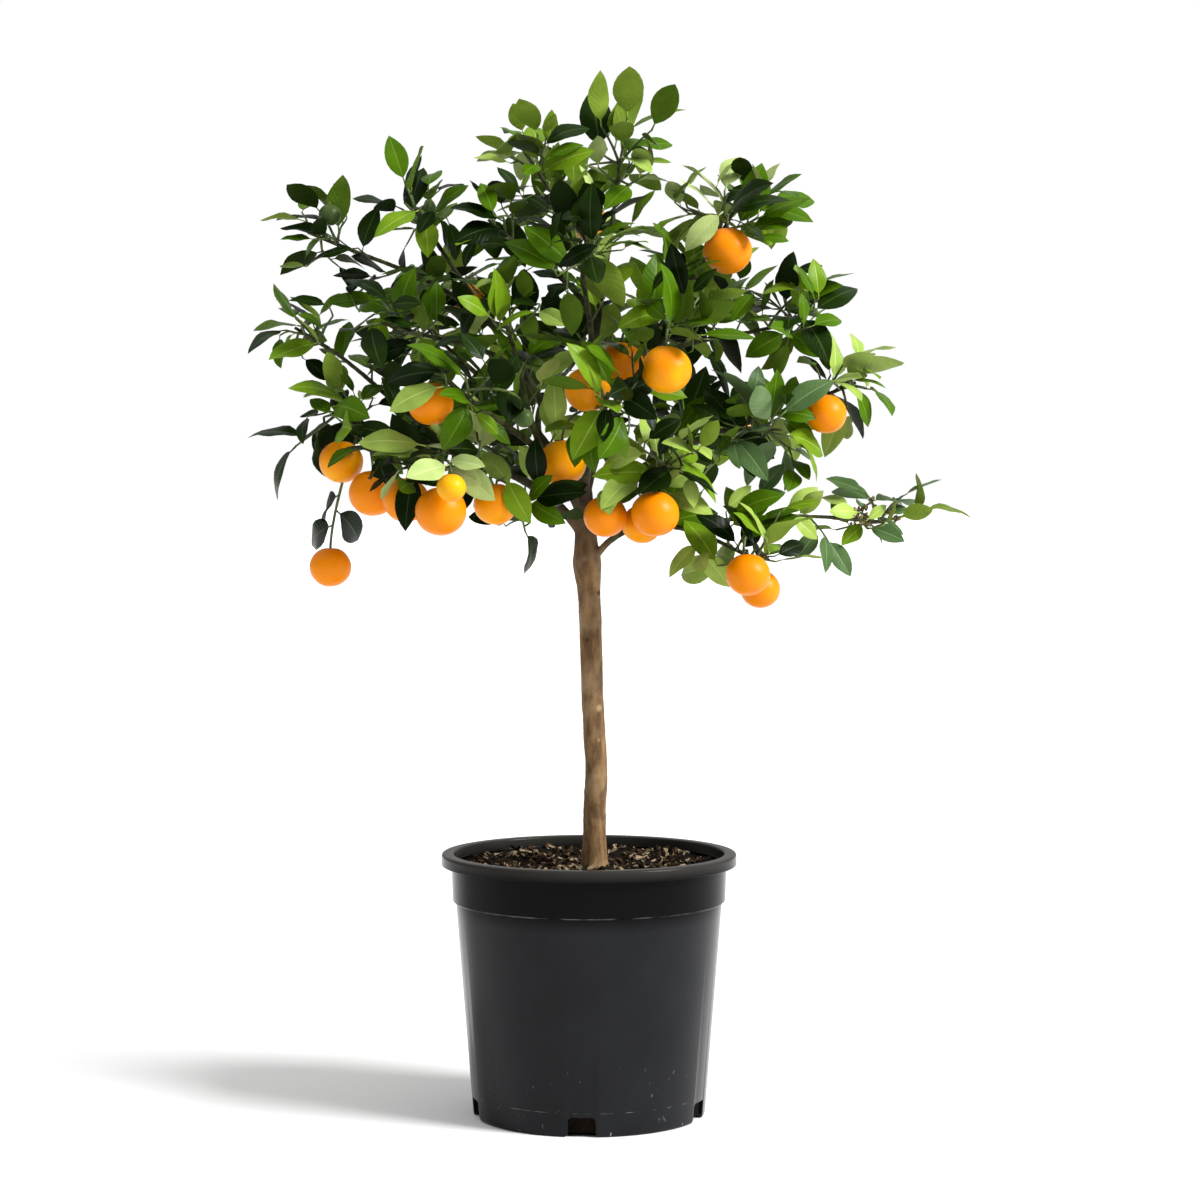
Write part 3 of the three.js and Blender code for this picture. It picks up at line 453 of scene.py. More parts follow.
def stalk_of(i, fruit, stem):
    """The shoot that a fruit hangs from: out from the stem, over, and down into the fruit."""
    x, y, z, width = fruit
    top = vec(x, y, z + width / 2 * FRUIT_SQUASH)
    foot = stem.curve.point(STALK_FEET[0 if top[2] < CENTRES[i][2] - LOW_FRUIT else 1])
    span = np.linalg.norm(foot - top)
    curve = Bend(
        foot,
        foot + (top - foot) * STALK_RUN + UP * span * STALK_ARCH,
        top + UP * min(span * STALK_RUN, STALK_DROP),
        top - UP * STALK_SINK,
    )
    return Limb(curve, STALK_RADIUS, STALK_RADIUS, "stalk", length=span, fruit=fruit,
                spill=math.inf)


def way_of(i, k, attempt):
    """The way that a shoot sets out: spread evenly over a ball, bent outwards and upwards."""
    mass = MASSES[i]
    roll = dice(mass["seed"], k, attempt, 1)
    height = 1 - 2 * (k % mass["shoots"] + 0.5) / mass["shoots"]
    ring = math.sqrt(1 - height * height)
    angle = mass["seed"] * SEED_TURN + TURN * k + attempt * TRY_TURN
    way = vec(
        ring * math.cos(angle) + swing(roll, SHOOT_JITTER),
        ring * math.sin(angle) + swing(roll, SHOOT_JITTER),
        height + swing(roll, SHOOT_JITTER),
    )
    return unit(way + unit(CENTRES[i] - CROWN_HEART) * SHOOT_OUT + UP * SHOOT_RISE)


def clear_of(p, radius, balls):
    """Whether a ball at p keeps clear of all the others."""
    far = np.linalg.norm(balls[:, :3] - p, axis=1)
    return bool((far > radius + balls[:, 3] + CLEARANCE).all())


def shoot_of(i, foot, target, spill, balls, kind="shoot", shortest=SHORTEST_SHOOT):
    """One shoot towards its target, drawn back until it lies in the mass's space and clear of
    every limb and fruit, or None."""
    drawn = 1
    while drawn > SHOOT_LEAST:
        end = foot + (target - foot) * drawn
        length = np.linalg.norm(end - foot)
        if length < shortest:
            return None
        curve = Line(foot, end)
        points = [curve.point(t) for t in (0.25, 0.4, 0.55, 0.7, 0.85, 1)]
        if all(in_space(i, p, 2, spill) and clear_of(p, SHOOT_RADIUS, balls) for p in points):
            return Limb(curve, SHOOT_RADIUS, SHOOT_TIP_RADIUS, kind, length=length, spill=spill,
                        mass=i)
        drawn -= SHOOT_DRAW
    return None


class Leaf:
    """A leaf as a kite: root, tip and the two widest points, with small balls along its midrib
    and edges. shoot, share: what it grows on, and where."""

    def __init__(self, root, heading, face, length):
        self.root, self.heading, self.face, self.length = root, heading, face, length
        self.across = unit(np.cross(heading, face))
        self.half = length * LEAF_WIDTH / LEAF_LENGTH / 2
        belly = root + heading * length * LEAF_BELLY
        self.tip = root + heading * length - face * length * LEAF_DROOP
        self.left = belly - self.across * self.half
        self.right = belly + self.across * self.half
        on = [root + (self.tip - root) * s for s in (0.12, 0.25, 0.4, 0.55, 0.7, 0.85, 1)]
        for side in (self.left, self.right):
            on += [root + (side - root) * s for s in (0.5, 1)]
            on += [self.tip + (side - self.tip) * s for s in (0.35, 0.7)]
        self.balls = np.array([[*p, LEAF_THICKNESS / 2] for p in on])

    def touches(self, balls):
        """Whether any of the balls touches this leaf."""
        away = balls[:, :3] - self.root
        reach = balls[:, 3] + CLEARANCE
        forward = away @ self.heading
        share = np.clip(forward / self.length, 0, 1)
        past = np.maximum(0, share - LEAF_BELLY) / (1 - LEAF_BELLY)
        half = self.half * np.minimum(share / LEAF_BELLY, 1 - past)
        off = np.abs(away @ self.face + past * self.length * LEAF_DROOP)
        return bool((
            (forward >= -reach) & (forward <= self.length + reach)
            & (off < reach + LEAF_THICKNESS / 2)
            & (np.abs(away @ self.across) < half + reach)
        ).any())

    def crosses(self, other):
        """Whether this leaf and another pass through each other."""
        if np.linalg.norm(self.root - other.root) > self.length + other.length:
            return False
        return self.touches(other.balls) or other.touches(self.balls)


def add_leaves(i, k, shoot, balls, leaves, scale=1.0, step=LEAF_STEP, spill=LEAF_SPILL,
               anywhere=False):
    """The leaves of one shoot: places at even steps back from its tip, each turned on from the
    last. A leaf that finds no room is made smaller, then skipped."""
    slot = 0
    bare = min(BARE_FOOT, shoot.length * BARE_SHARE)
    while slot * step < shoot.length - bare:
        roll = dice(MASSES[i]["seed"], k, slot, 3)
        share = min(LAST_LEAF, 1 - slot * step / shoot.length)
        root, along = shoot.curve.point(share), shoot.curve.tangent(share)
        size = LEAF_LENGTH * draw(roll, LEAF_SIZES) * scale
        spread = math.radians(draw(roll, SIDE_SPREAD if slot else TIP_SPREAD))
        turn = TURN * slot + roll() * LEAF_CHANCE + k
        tilt = swing(roll, LEAF_TILT)
        side = unit(np.cross(along, vec(1, 0, 0) if abs(along[2]) > 0.9 else UP))
        for attempt in range(LEAF_TRIES):
            out = around(along, side, turn + attempt * LEAF_NUDGE)
            heading = unit(along * math.cos(spread) + out * math.sin(spread) + UP * LEAF_RISE)
            face = square_to(heading, UP + along * LEAF_FACE + side * tilt)
            shrink = LEAF_SHRINK * (attempt // TRIES_EACH_SIZE)
            leaf = Leaf(root, heading, face, size * (1 - shrink))
            edges = (leaf.tip, leaf.left, leaf.right)
            if not (anywhere or all(in_space(i, p, 1, shoot.spill * spill) for p in edges)):
                continue
            if leaf.touches(balls) or any(leaf.crosses(other) for other in leaves):
                continue
            leaf.shoot, leaf.share, leaf.mass, leaf.spray = shoot, share, i, k
            leaves.append(leaf)
            break
        slot += 1


SPUR_SHARES = (0.5, 0.8)  # places of the side spurs along a shoot
SPUR_LENGTH = 22
SHORTEST_SPUR = 7
SPUR_STEP = 8  # distance of the leaves on it
SPUR_FORWARD = 0.7  # how much it heads along its shoot
SPUR_RADII = (0.8, 0.6)
SPUR_REACH = (0.7, 0.6)  # its least length as a share, and how much chance adds to it
FINE_SHOOTS = 4  # shoots of a mass past those of the frame
BACK_FINE_SHOOTS = 8  # the same, in the masses at the back
BACK_FROM = 50  # the masses from here backwards
FINE_FROM = 0.25  # they leave their stem from this share of it,
FINE_OVER = 0.7  # over this share
FINE_APART = 10
FINE_REACH = 0.85
FINE_SPILL = 1.08  # how far the finer leaves may stand out of their mass's rounded outline
FINE_LEAF = 0.92  # length of the leaves on finer shoots, as a share
SPUR_LEAF = 0.84  # the same, on spurs
INNER_SHARES = (0.42, 0.62, 0.82)  # places of the inner spurs along a bough
INNER_FORWARD = 0.6
INNER_RADII = (0.9, 0.6)
INNER_STEP = 6
INNER_NEAR = 80  # limbs and fruit further off can't touch an inner spur,
LEAVES_NEAR = 90  # nor can leaves that are further off
FINER_SPRAYS = 40  # the sprays of the finer twigs are numbered from here,
VEIL_SPRAYS = 70  # those of the veils from here,
INNER_SPRAYS = 90  # and those of the inner spurs from here
BOW = 0.12  # how far a twig bows, as a share of its length, at most
EYE = vec(0, -2214, 481)  # where the tree is seen from
OUTER_FRUIT = 70  # a fruit this far from the trunk's line hangs free of the leaves before it
FREE_SHARE = 0.32  # how much of its radius stays free
FREE_DROP = 0.26  # how far below its middle, as a share of its width
VEIL_SHARE = 0.72  # place on a fruit's stalk of the spur that holds its veil
VEIL_SPUR = vec(4, -13, 2)  # foot to tip of that spur, for a fruit on the left
VEIL_RADII = (0.9, 0.7)
VEIL_ASIDE = (-0.2, 1.2)  # how far it heads aside: the least, and how much chance adds
VEIL_HANG = (-0.35, -0.8)  # how far it heads forwards and down, along Y and Z
VEIL_FACE = vec(0, -1, 0.3)
VEIL_LEAF = 0.9  # length of a veil, as a share
VEIL_SIZES = (0.9, 0.2)
VEIL_TRIES = 20


def spur_of(i, n, limb, share, near):
    """A short side twig that leaves a limb at a slant, or None where it finds no room."""
    roll = dice(MASSES[i]["seed"], n, 11)
    foot, along = limb.curve.point(share), limb.curve.tangent(share)
    side = unit(np.cross(along, UP + vec(0.01, 0, 0)))
    out = around(along, side, TURN * n + roll() * 3)
    way = unit(along * SPUR_FORWARD + out + UP * SHOOT_RISE)
    target = foot + way * SPUR_LENGTH * draw(roll, SPUR_REACH)
    spur = shoot_of(i, foot, target, 1, near, "spur", SHORTEST_SPUR)
    if spur:
        spur.radii = SPUR_RADII
        spur.parent, spur.share = limb, share
    return spur


def add_finer(i, stem, shoots, near, blocks, leaves):
    """The finer twigs of a mass: more shoots from its stem, and short spurs from its shoots, each
    with its own small leaves. A twig that bears no leaf is left out."""
    mass = MASSES[i]
    finer = []
    count = BACK_FINE_SHOOTS if CENTRES[i][1] > BACK_FROM else FINE_SHOOTS
    for k in range(mass["shoots"], mass["shoots"] + count):
        for attempt in range(SHOOT_TRIES):
            target = way_of(i, k, attempt + 5) * mass["radius"] * FINE_REACH + CENTRES[i]
            foot = stem.curve.point(FINE_FROM + FINE_OVER * ((k * 3) % count) / count)
            shoot = shoot_of(i, foot, target, 1, near)
            if shoot and all(
                np.linalg.norm(other.curve.point(1) - shoot.curve.point(1)) > FINE_APART
                for other in shoots + finer
            ):
                finer.append(shoot)
                break
    for k, shoot in enumerate(shoots + finer):
        for n, share in enumerate(SPUR_SHARES):
            spur = spur_of(i, k * 2 + n, shoot, share, near)
            if spur:
                finer.append(spur)
    kept = []
    for k, twig in enumerate(finer):
        own = [balls_along(other)[2:] for other in [stem, *shoots, *finer] if other is not twig]
        blocked = np.concatenate([blocks, *own])
        scale, step = (SPUR_LEAF, SPUR_STEP) if twig.kind == "spur" else (FINE_LEAF, LEAF_STEP)
        before = len(leaves)
        add_leaves(i, FINER_SPRAYS + k, twig, blocked, leaves, scale, step, FINE_SPILL)
        if len(leaves) > before:
            kept.append(twig)
    return kept


@lru_cache(maxsize=None)
def crown_frame():
    """What every mass keeps clear of: the stems, the stalks, and all limbs and fruit as balls
    with the names of their owners."""
    stems = [stem_of(i) for i in range(len(MASSES))]
    stalks = [[stalk_of(i, fruit, stems[i]) for fruit in mass.get("fruit", ())]
              for i, mass in enumerate(MASSES)]
    parts = [(balls_along(limb), "limb") for limb in limbs().values()]
    for i, stem in enumerate(stems):
        parts.append((balls_along(stem), f"stem {i}"))
        for stalk in stalks[i]:
            x, y, z, width = stalk.fruit
            parts.append((balls_along(stalk), f"stalk {i}"))
            parts.append((np.array([[x, y, z, width / 2]]), "fruit"))
    balls = np.concatenate([rows for rows, _ in parts])
    owners = np.array([owner for rows, owner in parts for _ in rows])
    return stems, stalks, balls, owners


def grow_mass(i):
    """What one mass grows: its shoots with its finer twigs, and its leaves."""
    mass = MASSES[i]
    stems, stalks, balls, owners = crown_frame()
    stem = stems[i]
    close = np.linalg.norm(balls[:, :3] - CENTRES[i], axis=1) < balls[:, 3] + MASS_NEAR
    near = balls[close & (owners != f"stem {i}")]
    unborne = balls[close & (owners != f"stem {i}") & (owners != f"stalk {i}")]
    shoots = []

    def add(target, share, spill):
        shoot = shoot_of(i, stem.curve.point(share), target, spill, near)
        if shoot is None:
            return False
        end = shoot.curve.point(1)
        if any(np.linalg.norm(s.curve.point(1) - end) < SHOOTS_APART for s in shoots):
            return False
        shoots.append(shoot)
        return True

    for reach in mass.get("reach", ()):
        add(vec(*reach), REACH_FROM, math.inf)
    for k in range(mass["shoots"]):
        share = SHOOT_FROM + SHOOT_OVER * ((k * 3) % mass["shoots"]) / (mass["shoots"] - 1)
        for attempt in range(SHOOT_TRIES):
            target = way_of(i, k, attempt) * mass["radius"] * SHOOT_REACH + CENTRES[i]
            if add(target, share, 1):
                break
    leaves = []
    bearing = [*shoots, *stalks[i]]
    for k, shoot in enumerate(bearing):
        own = [balls_along(limb)[2:] for limb in [stem, *bearing] if limb is not shoot]
        add_leaves(i, k, shoot, np.concatenate([unborne, *own]), leaves)
    finer = add_finer(i, stem, shoots, near, unborne, leaves)
    return [*shoots, *finer], leaves


def inner_sprays(leaves):
    """Spurs with a few leaves on the outer parts of the boughs, which fill the crown's inside."""
    balls = crown_frame()[2]
    spurs = []
    for i, mass in enumerate(MASSES):
        bough = limbs()[mass["name"]]
        for n, share in enumerate(INNER_SHARES):
            roll = dice(mass["seed"], n, 23)
            foot, along = bough.curve.point(share), bough.curve.tangent(share)
            side = unit(np.cross(along, UP))
            out = around(along, side, TURN * n + roll() * 6)
            end = foot + unit(along * INNER_FORWARD + out + UP * SHOOT_RISE) * SPUR_LENGTH
            near = balls[np.linalg.norm(balls[:, :3] - foot, axis=1) < INNER_NEAR]
            probe = [foot + (end - foot) * t for t in (0.6, 1)]
            if not all(clear_of(p, SHOOT_RADIUS, near) for p in probe):
                continue
            spur = Limb(Line(foot, end), *INNER_RADII, "spur", length=SPUR_LENGTH,
                        spill=math.inf, parent=bough, share=share)
            close = [leaf for leaf in leaves if np.linalg.norm(leaf.root - foot) < LEAVES_NEAR]
            count = len(close)
            add_leaves(i, INNER_SPRAYS + n, spur, near, close, SPUR_LEAF, INNER_STEP, math.inf,
                       anywhere=True)
            leaves += close[count:]
            if len(close) > count:
                spurs.append(spur)
    return spurs


def in_front(leaves, stalks):
    """Which of the leaves hang before an outer fruit, as seen from the front."""
    points = np.array([leaf.balls[:, :3] for leaf in leaves]) - EYE
    far = np.linalg.norm(points, axis=2)
    ways = points / far[:, :, None]
    hiding = np.zeros(len(leaves), bool)
    for stalk in stalks:
        x, y, z, width = stalk.fruit
        if y > 0 or math.hypot(x, y) < OUTER_FRUIT:
            continue
        fruit = vec(x, y, z - width * FREE_DROP) - EYE
        off = np.linalg.norm(fruit - ways * (ways @ fruit)[:, :, None], axis=2)
        hiding |= ((off < width / 2 * FREE_SHARE) & (far < np.linalg.norm(fruit))).any(axis=1)
    return hiding


def veils(leaves):
    """Spurs with one leaf each, which hangs before the shoulder of a fruit that is named in its
    mass, on the side towards the trunk."""
    stalks = crown_frame()[1]
    spurs = []
    for i, mass in enumerate(MASSES):
        for k in mass.get("veils", ()):
            stalk = stalks[i][k]
            mirror = vec(-math.copysign(1, stalk.fruit[0]), 1, 1)
            foot = stalk.curve.point(VEIL_SHARE)
            end = foot + VEIL_SPUR * mirror
            spur = Limb(Line(foot, end), *VEIL_RADII, "spur", length=np.linalg.norm(VEIL_SPUR),
                        spill=math.inf, parent=stalk, share=VEIL_SHARE)
            for attempt in range(VEIL_TRIES):
                roll = dice(mass["seed"], k, attempt, 37)
                heading = unit(vec(draw(roll, VEIL_ASIDE), *VEIL_HANG) * mirror)
                length = LEAF_LENGTH * VEIL_LEAF * draw(roll, VEIL_SIZES)
                leaf = Leaf(end, heading, square_to(heading, VEIL_FACE), length)
                if not any(leaf.crosses(other) for other in leaves):
                    leaf.shoot, leaf.share, leaf.mass, leaf.spray = spur, 1, i, VEIL_SPRAYS + k
                    leaves.append(leaf)
                    spurs.append(spur)
                    break
    return spurs


def cut_back(twigs, leaves):
    """The shoots and spurs that bear something, each cut back to the last leaf or spur on it."""
    last = {}
    for leaf in leaves:
        last[leaf.shoot] = max(last.get(leaf.shoot, 0), leaf.share)
    spurs = [twig for twig in twigs if twig.kind == "spur" and twig in last]
    for spur in spurs:
        last[spur.parent] = max(last.get(spur.parent, 0), spur.share)
    for bearer in [*leaves, *spurs]:
        limb = bearer.shoot if isinstance(bearer, Leaf) else bearer.parent
        if limb.kind in ("shoot", "spur"):
            bearer.share /= last[limb]
    kept = []
    for twig in twigs:
        if twig.kind == "stem":
            kept.append(twig)
        elif twig in last:
            twig.curve = Line(twig.curve.foot, twig.curve.point(last[twig]))
            twig.length *= last[twig]
            kept.append(twig)
    return kept


@lru_cache(maxsize=None)
def crown():
    """Everything that the crown grows: its twigs, its stalks and its leaves. Outer fruit hang free
    of the leaves before them."""
    stems, stalks, _, _ = crown_frame()
    twigs, leaves = list(stems), []
    for i in range(len(MASSES)):
        more, grown = grow_mass(i)
        twigs += more
        leaves += grown
    twigs += inner_sprays(leaves)
    stalks = [stalk for row in stalks for stalk in row]
    leaves = [leaf for leaf, hiding in zip(leaves, in_front(leaves, stalks)) if not hiding]
    twigs = cut_back(twigs + veils(leaves), leaves)
    for n, twig in enumerate(twigs):
        roll = dice(n, 5)
        if twig.kind != "stem":
            twig.bow = (vec(roll(), roll(), roll()) - 0.5) * twig.length * BOW
        if twig.kind == "spur":
            twig.shift = twig.parent.bow * math.sin(math.pi * twig.share)
    return twigs, stalks, leaves


# ---------- making meshes ----------


def mesh_of(name, bm):
    """A bmesh as a mesh."""
    mesh = bpy.data.meshes.new(name)
    bm.to_mesh(mesh)
    bm.free()
    return mesh


def object_of(name, data):
    """A mesh, a light or a camera as an object in the scene."""
    made = bpy.data.objects.new(name, data)
    bpy.context.scene.collection.objects.link(made)
    return made


def add_modifier(holder, kind, **settings):
    """Gives an object a modifier."""
    modifier = holder.modifiers.new(kind.lower(), kind)
    for name, value in settings.items():
        setattr(modifier, name, value)


def worked_out(holder):
    """The mesh that an object's modifiers make. The object goes."""
    blank = holder.data
    graph = bpy.context.evaluated_depsgraph_get()
    mesh = bpy.data.meshes.new_from_object(holder.evaluated_get(graph))
    bpy.data.objects.remove(holder)
    bpy.data.meshes.remove(blank)
    return mesh


def only(kind, made):
    """The items of one kind among those that a bmesh operator made."""
    return [item for item in made["geom"] if isinstance(item, kind)]


class Shape:
    """A small finished mesh as arrays, to be copied many times into one piece."""

    def __init__(self, bm):
        mesh = mesh_of("shape", bm)
        self.points = self.read(mesh.vertices, "co", 3)
        self.corners = self.read(mesh.loops, "vertex_index", 1).astype(int)
        self.sizes = self.read(mesh.polygons, "loop_total", 1).astype(int)
        self.finish = self.read(mesh.polygons, "material_index", 1).astype(int)
        layer = mesh.uv_layers.active
        self.uvs = self.read(layer.data, "uv", 2) if layer else np.zeros((len(self.corners), 2))
        bpy.data.meshes.remove(mesh)

    @staticmethod
    def read(items, field, width):
        """One field of every item as an array."""
        values = np.empty(len(items) * width, np.float64 if width > 1 else np.int32)
        items.foreach_get(field, values)
        return values.reshape(-1, width) if width > 1 else values


def add_piece(name, mesh, materials, nodes=()):
    """Links a mesh as a piece of the tree: it rides on the root and stands for the nodes."""
    piece = object_of(name, mesh)
    for material in materials:
        mesh.materials.append(material)
    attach(piece, "root")
    if nodes:
        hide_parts(*nodes)
    return piece


RIM_ANGLE = math.radians(130)  # a leaf's two sides meet more sharply than this at its rim
SKIN_SOFTENING = 6  # rounds of smoothing


def joined(name, copies):
    """One mesh of many copies. Each copy is a shape, its points in millimetres, and the number
    of the first of its materials."""
    counts = [len(points) for _, points, _ in copies]
    starts = np.cumsum([0, *counts[:-1]])
    points = np.concatenate([points for _, points, _ in copies]) * MM
    corners = np.concatenate([s.corners + start for (s, _, _), start in zip(copies, starts)])
    sizes = np.concatenate([s.sizes for s, _, _ in copies])
    mesh = bpy.data.meshes.new(name)
    mesh.vertices.add(len(points))
    mesh.vertices.foreach_set("co", points.ravel())
    mesh.loops.add(len(corners))
    mesh.loops.foreach_set("vertex_index", corners)
    mesh.polygons.add(len(sizes))
    mesh.polygons.foreach_set("loop_start", np.cumsum(sizes) - sizes)
    finish = np.concatenate([s.finish + first for s, _, first in copies])
    mesh.polygons.foreach_set("material_index", finish)
    layer = mesh.uv_layers.new(name="UVMap")
    layer.data.foreach_set("uv", np.concatenate([s.uvs for s, _, _ in copies]).ravel())
    mesh.update(calc_edges=True)
    mesh.validate()
    mesh.shade_smooth()
    mesh.set_sharp_from_angle(angle=RIM_ANGLE)
    return mesh


@lru_cache(maxsize=None)
def rod(sides, rings):
    """A closed rod of radius one, from z = 0 to z = 1."""
    bm = bmesh.new()
    bmesh.ops.create_circle(bm, cap_ends=True, segments=sides, radius=1)
    cap = list(bm.faces)
    for _ in range(rings):
        made = bmesh.ops.extrude_face_region(bm, geom=cap)
        cap = only(bmesh.types.BMFace, made)
        bmesh.ops.translate(bm, vec=(0, 0, 1 / rings), verts=only(bmesh.types.BMVert, made))
    inner = [face for face in bm.faces
             if len(face.verts) > 4 and all(0.001 < vert.co.z < 0.999 for vert in face.verts)]
    bmesh.ops.delete(bm, geom=inner, context="FACES_ONLY")
    bmesh.ops.recalc_face_normals(bm, faces=bm.faces)
    return Shape(bm)


def on_limb(shape, limb, widen=None):
    """The points of a unit rod carried onto a limb."""
    shares = np.round(shape.points[:, 2], 5)
    places = {}
    across = None
    for t in np.unique(shares):
        tangent = unit(limb.place(min(1, t + 0.01)) - limb.place(max(0, t - 0.01)))
        start = np.cross(vec(1, 0, 0), tangent) if across is None else across
        across = unit(start - tangent * (start @ tangent))
        places[t] = (limb.place(t), across, np.cross(tangent, across), limb.radius(t))
    points = np.empty_like(shape.points)
    for n, (x, y, _) in enumerate(shape.points):
        place, a, b, r = places[shares[n]]
        if widen:
            r *= widen(place, math.atan2(y, x))
        points[n] = place + a * x * r + b * y * r
    return points


def remeshed(mesh, voxel):
    """The mesh as one even skin, its unions softened."""
    holder = object_of("skin", mesh)
    add_modifier(holder, "REMESH", mode="VOXEL", voxel_size=voxel)
    add_modifier(holder, "SMOOTH", factor=0.5, iterations=SKIN_SOFTENING)
    return worked_out(holder)


def points_of(mesh):
    """The vertices and normals of a mesh as arrays."""
    points = np.empty(len(mesh.vertices) * 3)
    mesh.vertices.foreach_get("co", points)
    normals = np.empty(len(mesh.vertices) * 3)
    mesh.vertex_normals.foreach_get("vector", normals)
    return points.reshape(-1, 3), normals.reshape(-1, 3)


# ---------- materials ----------


def colour(code):
    """An sRGB hex code as linear red, green, blue and alpha."""
    parts = [int(code[n : n + 2], 16) / 255 for n in (0, 2, 4)]
    return (*[p / 12.92 if p <= 0.04045 else ((p + 0.055) / 1.055) ** 2.4 for p in parts], 1.0)


def toned(tone, *by):
    """A colour with its red, green and blue each taken by a factor."""
    return (*[part * factor for part, factor in zip(tone, by)], 1)


def plug(owner, socket, value):
    """Gives an input of a node a value or another node's output."""
    if isinstance(value, bpy.types.NodeSocket):
        owner.node_tree.links.new(value, socket)
    else:
        socket.default_value = value


def add_node(owner, kind, sockets=None, **settings):
    """Adds a node to a material or a world. sockets gives each input's name or number a value or
    another node's output."""
    node = owner.node_tree.nodes.new("ShaderNode" + kind)
    for name, value in settings.items():
        setattr(node, name, value)
    for key, value in (sockets or {}).items():
        plug(owner, node.inputs[key], value)
    return node


class Coat:
    """A node material in the making, laid out by the place on the object in metres. Its methods
    give the outputs of the nodes that they add; finish gives the material."""

    def __init__(self, name):
        self.material = bpy.data.materials.new(name)
        self.material.use_nodes = True
        self.material.node_tree.nodes.clear()
        self.shader = self.add("BsdfPrincipled")
        self.add("OutputMaterial", {"Surface": self.shader.outputs[0]})
        self.place = self.add("TexCoord").outputs["Object"]

    def add(self, kind, sockets=None, **settings):
        """A node of any other kind; this one gives the node itself."""
        return add_node(self.material, kind, sockets, **settings)

    def noise(self, scale, detail=2.0, upright=1, **more):
        """Patches of noise, scale to a metre, drawn out up the object where upright is under 1."""
        place = self.place
        if upright != 1:
            place = self.add("Mapping", {0: place, 3: (1, 1, upright)}).outputs[0]
        sockets = {"Vector": place, "Scale": scale, "Detail": detail, **more}
        return self.add("TexNoise", sockets).outputs[0]

    def cells(self, scale):
        """The distance from the nearest of many points, scale to a metre."""
        return self.add("TexVoronoi", {"Vector": self.place, "Scale": scale}).outputs[0]

    def height(self):
        """The height on the object."""
        return self.add("SeparateXYZ", {0: self.place}).outputs[2]

    def maths(self, operation, *values):
        """A sum of values and outputs."""
        return self.add("Math", dict(enumerate(values)), operation=operation).outputs[0]

    def ramp(self, factor, low, high):
        """A grey output stretched so that low gives 0 and high gives 1."""
        return self.add("MapRange", {0: factor, 1: low, 2: high}).outputs[0]

    def between(self, factor, least, most):
        """A grey output laid out from the least to the most."""
        return self.add("MapRange", {0: factor, 3: least, 4: most}).outputs[0]

    def mix(self, a, b, factor, *span):
        """Colour a that turns into b as a grey output goes from 0 to 1, or over a span."""
        if span:
            factor = self.ramp(factor, *span)
        return self.add("Mix", {0: factor, 6: a, 7: b}, data_type="RGBA").outputs[2]

    def bump(self, height, strength, distance, **more):
        """A relief, at most distance metres high."""
        sockets = {"Height": height, "Strength": strength, "Distance": distance, **more}
        return self.add("Bump", sockets).outputs[0]

    def finish(self, paint, roughness, specular=None, normal=None):
        """Joins up the shader; what isn't given stays as it is."""
        given = {"Base Color": paint, "Roughness": roughness, "Specular IOR Level": specular,
                 "Normal": normal}
        for name, value in given.items():
            if value is not None:
                plug(self.material, self.shader.inputs[name], value)
        return self.material


# pale lines round the pot, at the step and at a rubbed seam above the foot: height, half their
# width, and how broken they are
PALE_LINES = [(STEP_Z - 0.6, 0.7, 0.42), (DRAIN_HEIGHT + 3, 0.35, 0.5)]


@lru_cache(maxsize=None)
def moulded_polypropylene():
    """Black polypropylene, injection moulded: satin, almost smooth, with a faint flow texture. Fine
    dust greys the wall under the step, while the band between the step and the rim stays plain
    black and less glossy as painted shade under the rim's overhang. The rim grows paler towards its
    top as a painted reflection of the light from above. A broken pale line runs round the step, a
    seam above the foot is rubbed pale, and a few scuffs stand low on the wall."""
    coat = Coat("black_polypropylene_moulded")
    height, dust = coat.height(), coat.noise(22.0, 4.0)
    dusty = coat.mix(colour("141517"), colour("1b1c1f"), dust, 0.3, 0.8)
    # painted shade: the band between the step and the rim stays plain black and less glossy, like
    # the shade under the rim's overhang; below the step fine dust greys the wall
    under_step = coat.ramp(height, STEP_Z * MM, (STEP_Z - 12) * MM)
    paint = coat.mix((*bpy.context.scene.citrus_pot.colour, 1), dusty, under_step)
    # painted reflection: the rim grows paler towards its top, as if it caught the light from above
    paint = coat.mix(paint, colour("33312e"), height, (POT_HEIGHT - RIM_HEIGHT) * MM,
                     POT_HEIGHT * MM)
    for z, half, broken in PALE_LINES:
        far = coat.maths("ABSOLUTE", coat.maths("SUBTRACT", height, z * MM))
        line = coat.ramp(far, half * MM, half * MM * 0.3)
        left = coat.ramp(coat.noise(85.0, 3.0), broken, broken + 0.14)
        paint = coat.mix(paint, colour("5d5c5a"), coat.maths("MULTIPLY", line, left))
    scuff = coat.ramp(coat.noise(420.0, upright=0.35), 0.71, 0.77)
    low = coat.ramp(height, 0.06, 0.0)
    paint = coat.mix(paint, colour("8d8b88"), coat.maths("MULTIPLY", low, scuff))
    flow = coat.bump(coat.noise(260.0, 3.0), 0.12, 0.0004)
    rough = coat.between(dust, 0.15, 0.23)
    return coat.finish(paint, rough, coat.between(under_step, 0.06, 0.125), flow)


@lru_cache(maxsize=None)
def potting_mix():
    """Peat and composted bark: matt, dark brown, crumbly, with paler fibres."""
    coat = Coat("peat_and_bark_mix")
    crumb = coat.noise(420.0, 6.0, Roughness=0.65)
    moist = (*bpy.context.scene.citrus_soil.colour, 1)
    paint = coat.mix(colour("0a0705"), moist, coat.noise(90.0, 3.0), 0.35, 0.7)
    paint = coat.mix(paint, colour("4d3e2b"), crumb, 0.62, 0.8)
    return coat.finish(paint, 0.92, 0.05, coat.bump(crumb, 0.9, 0.0012))


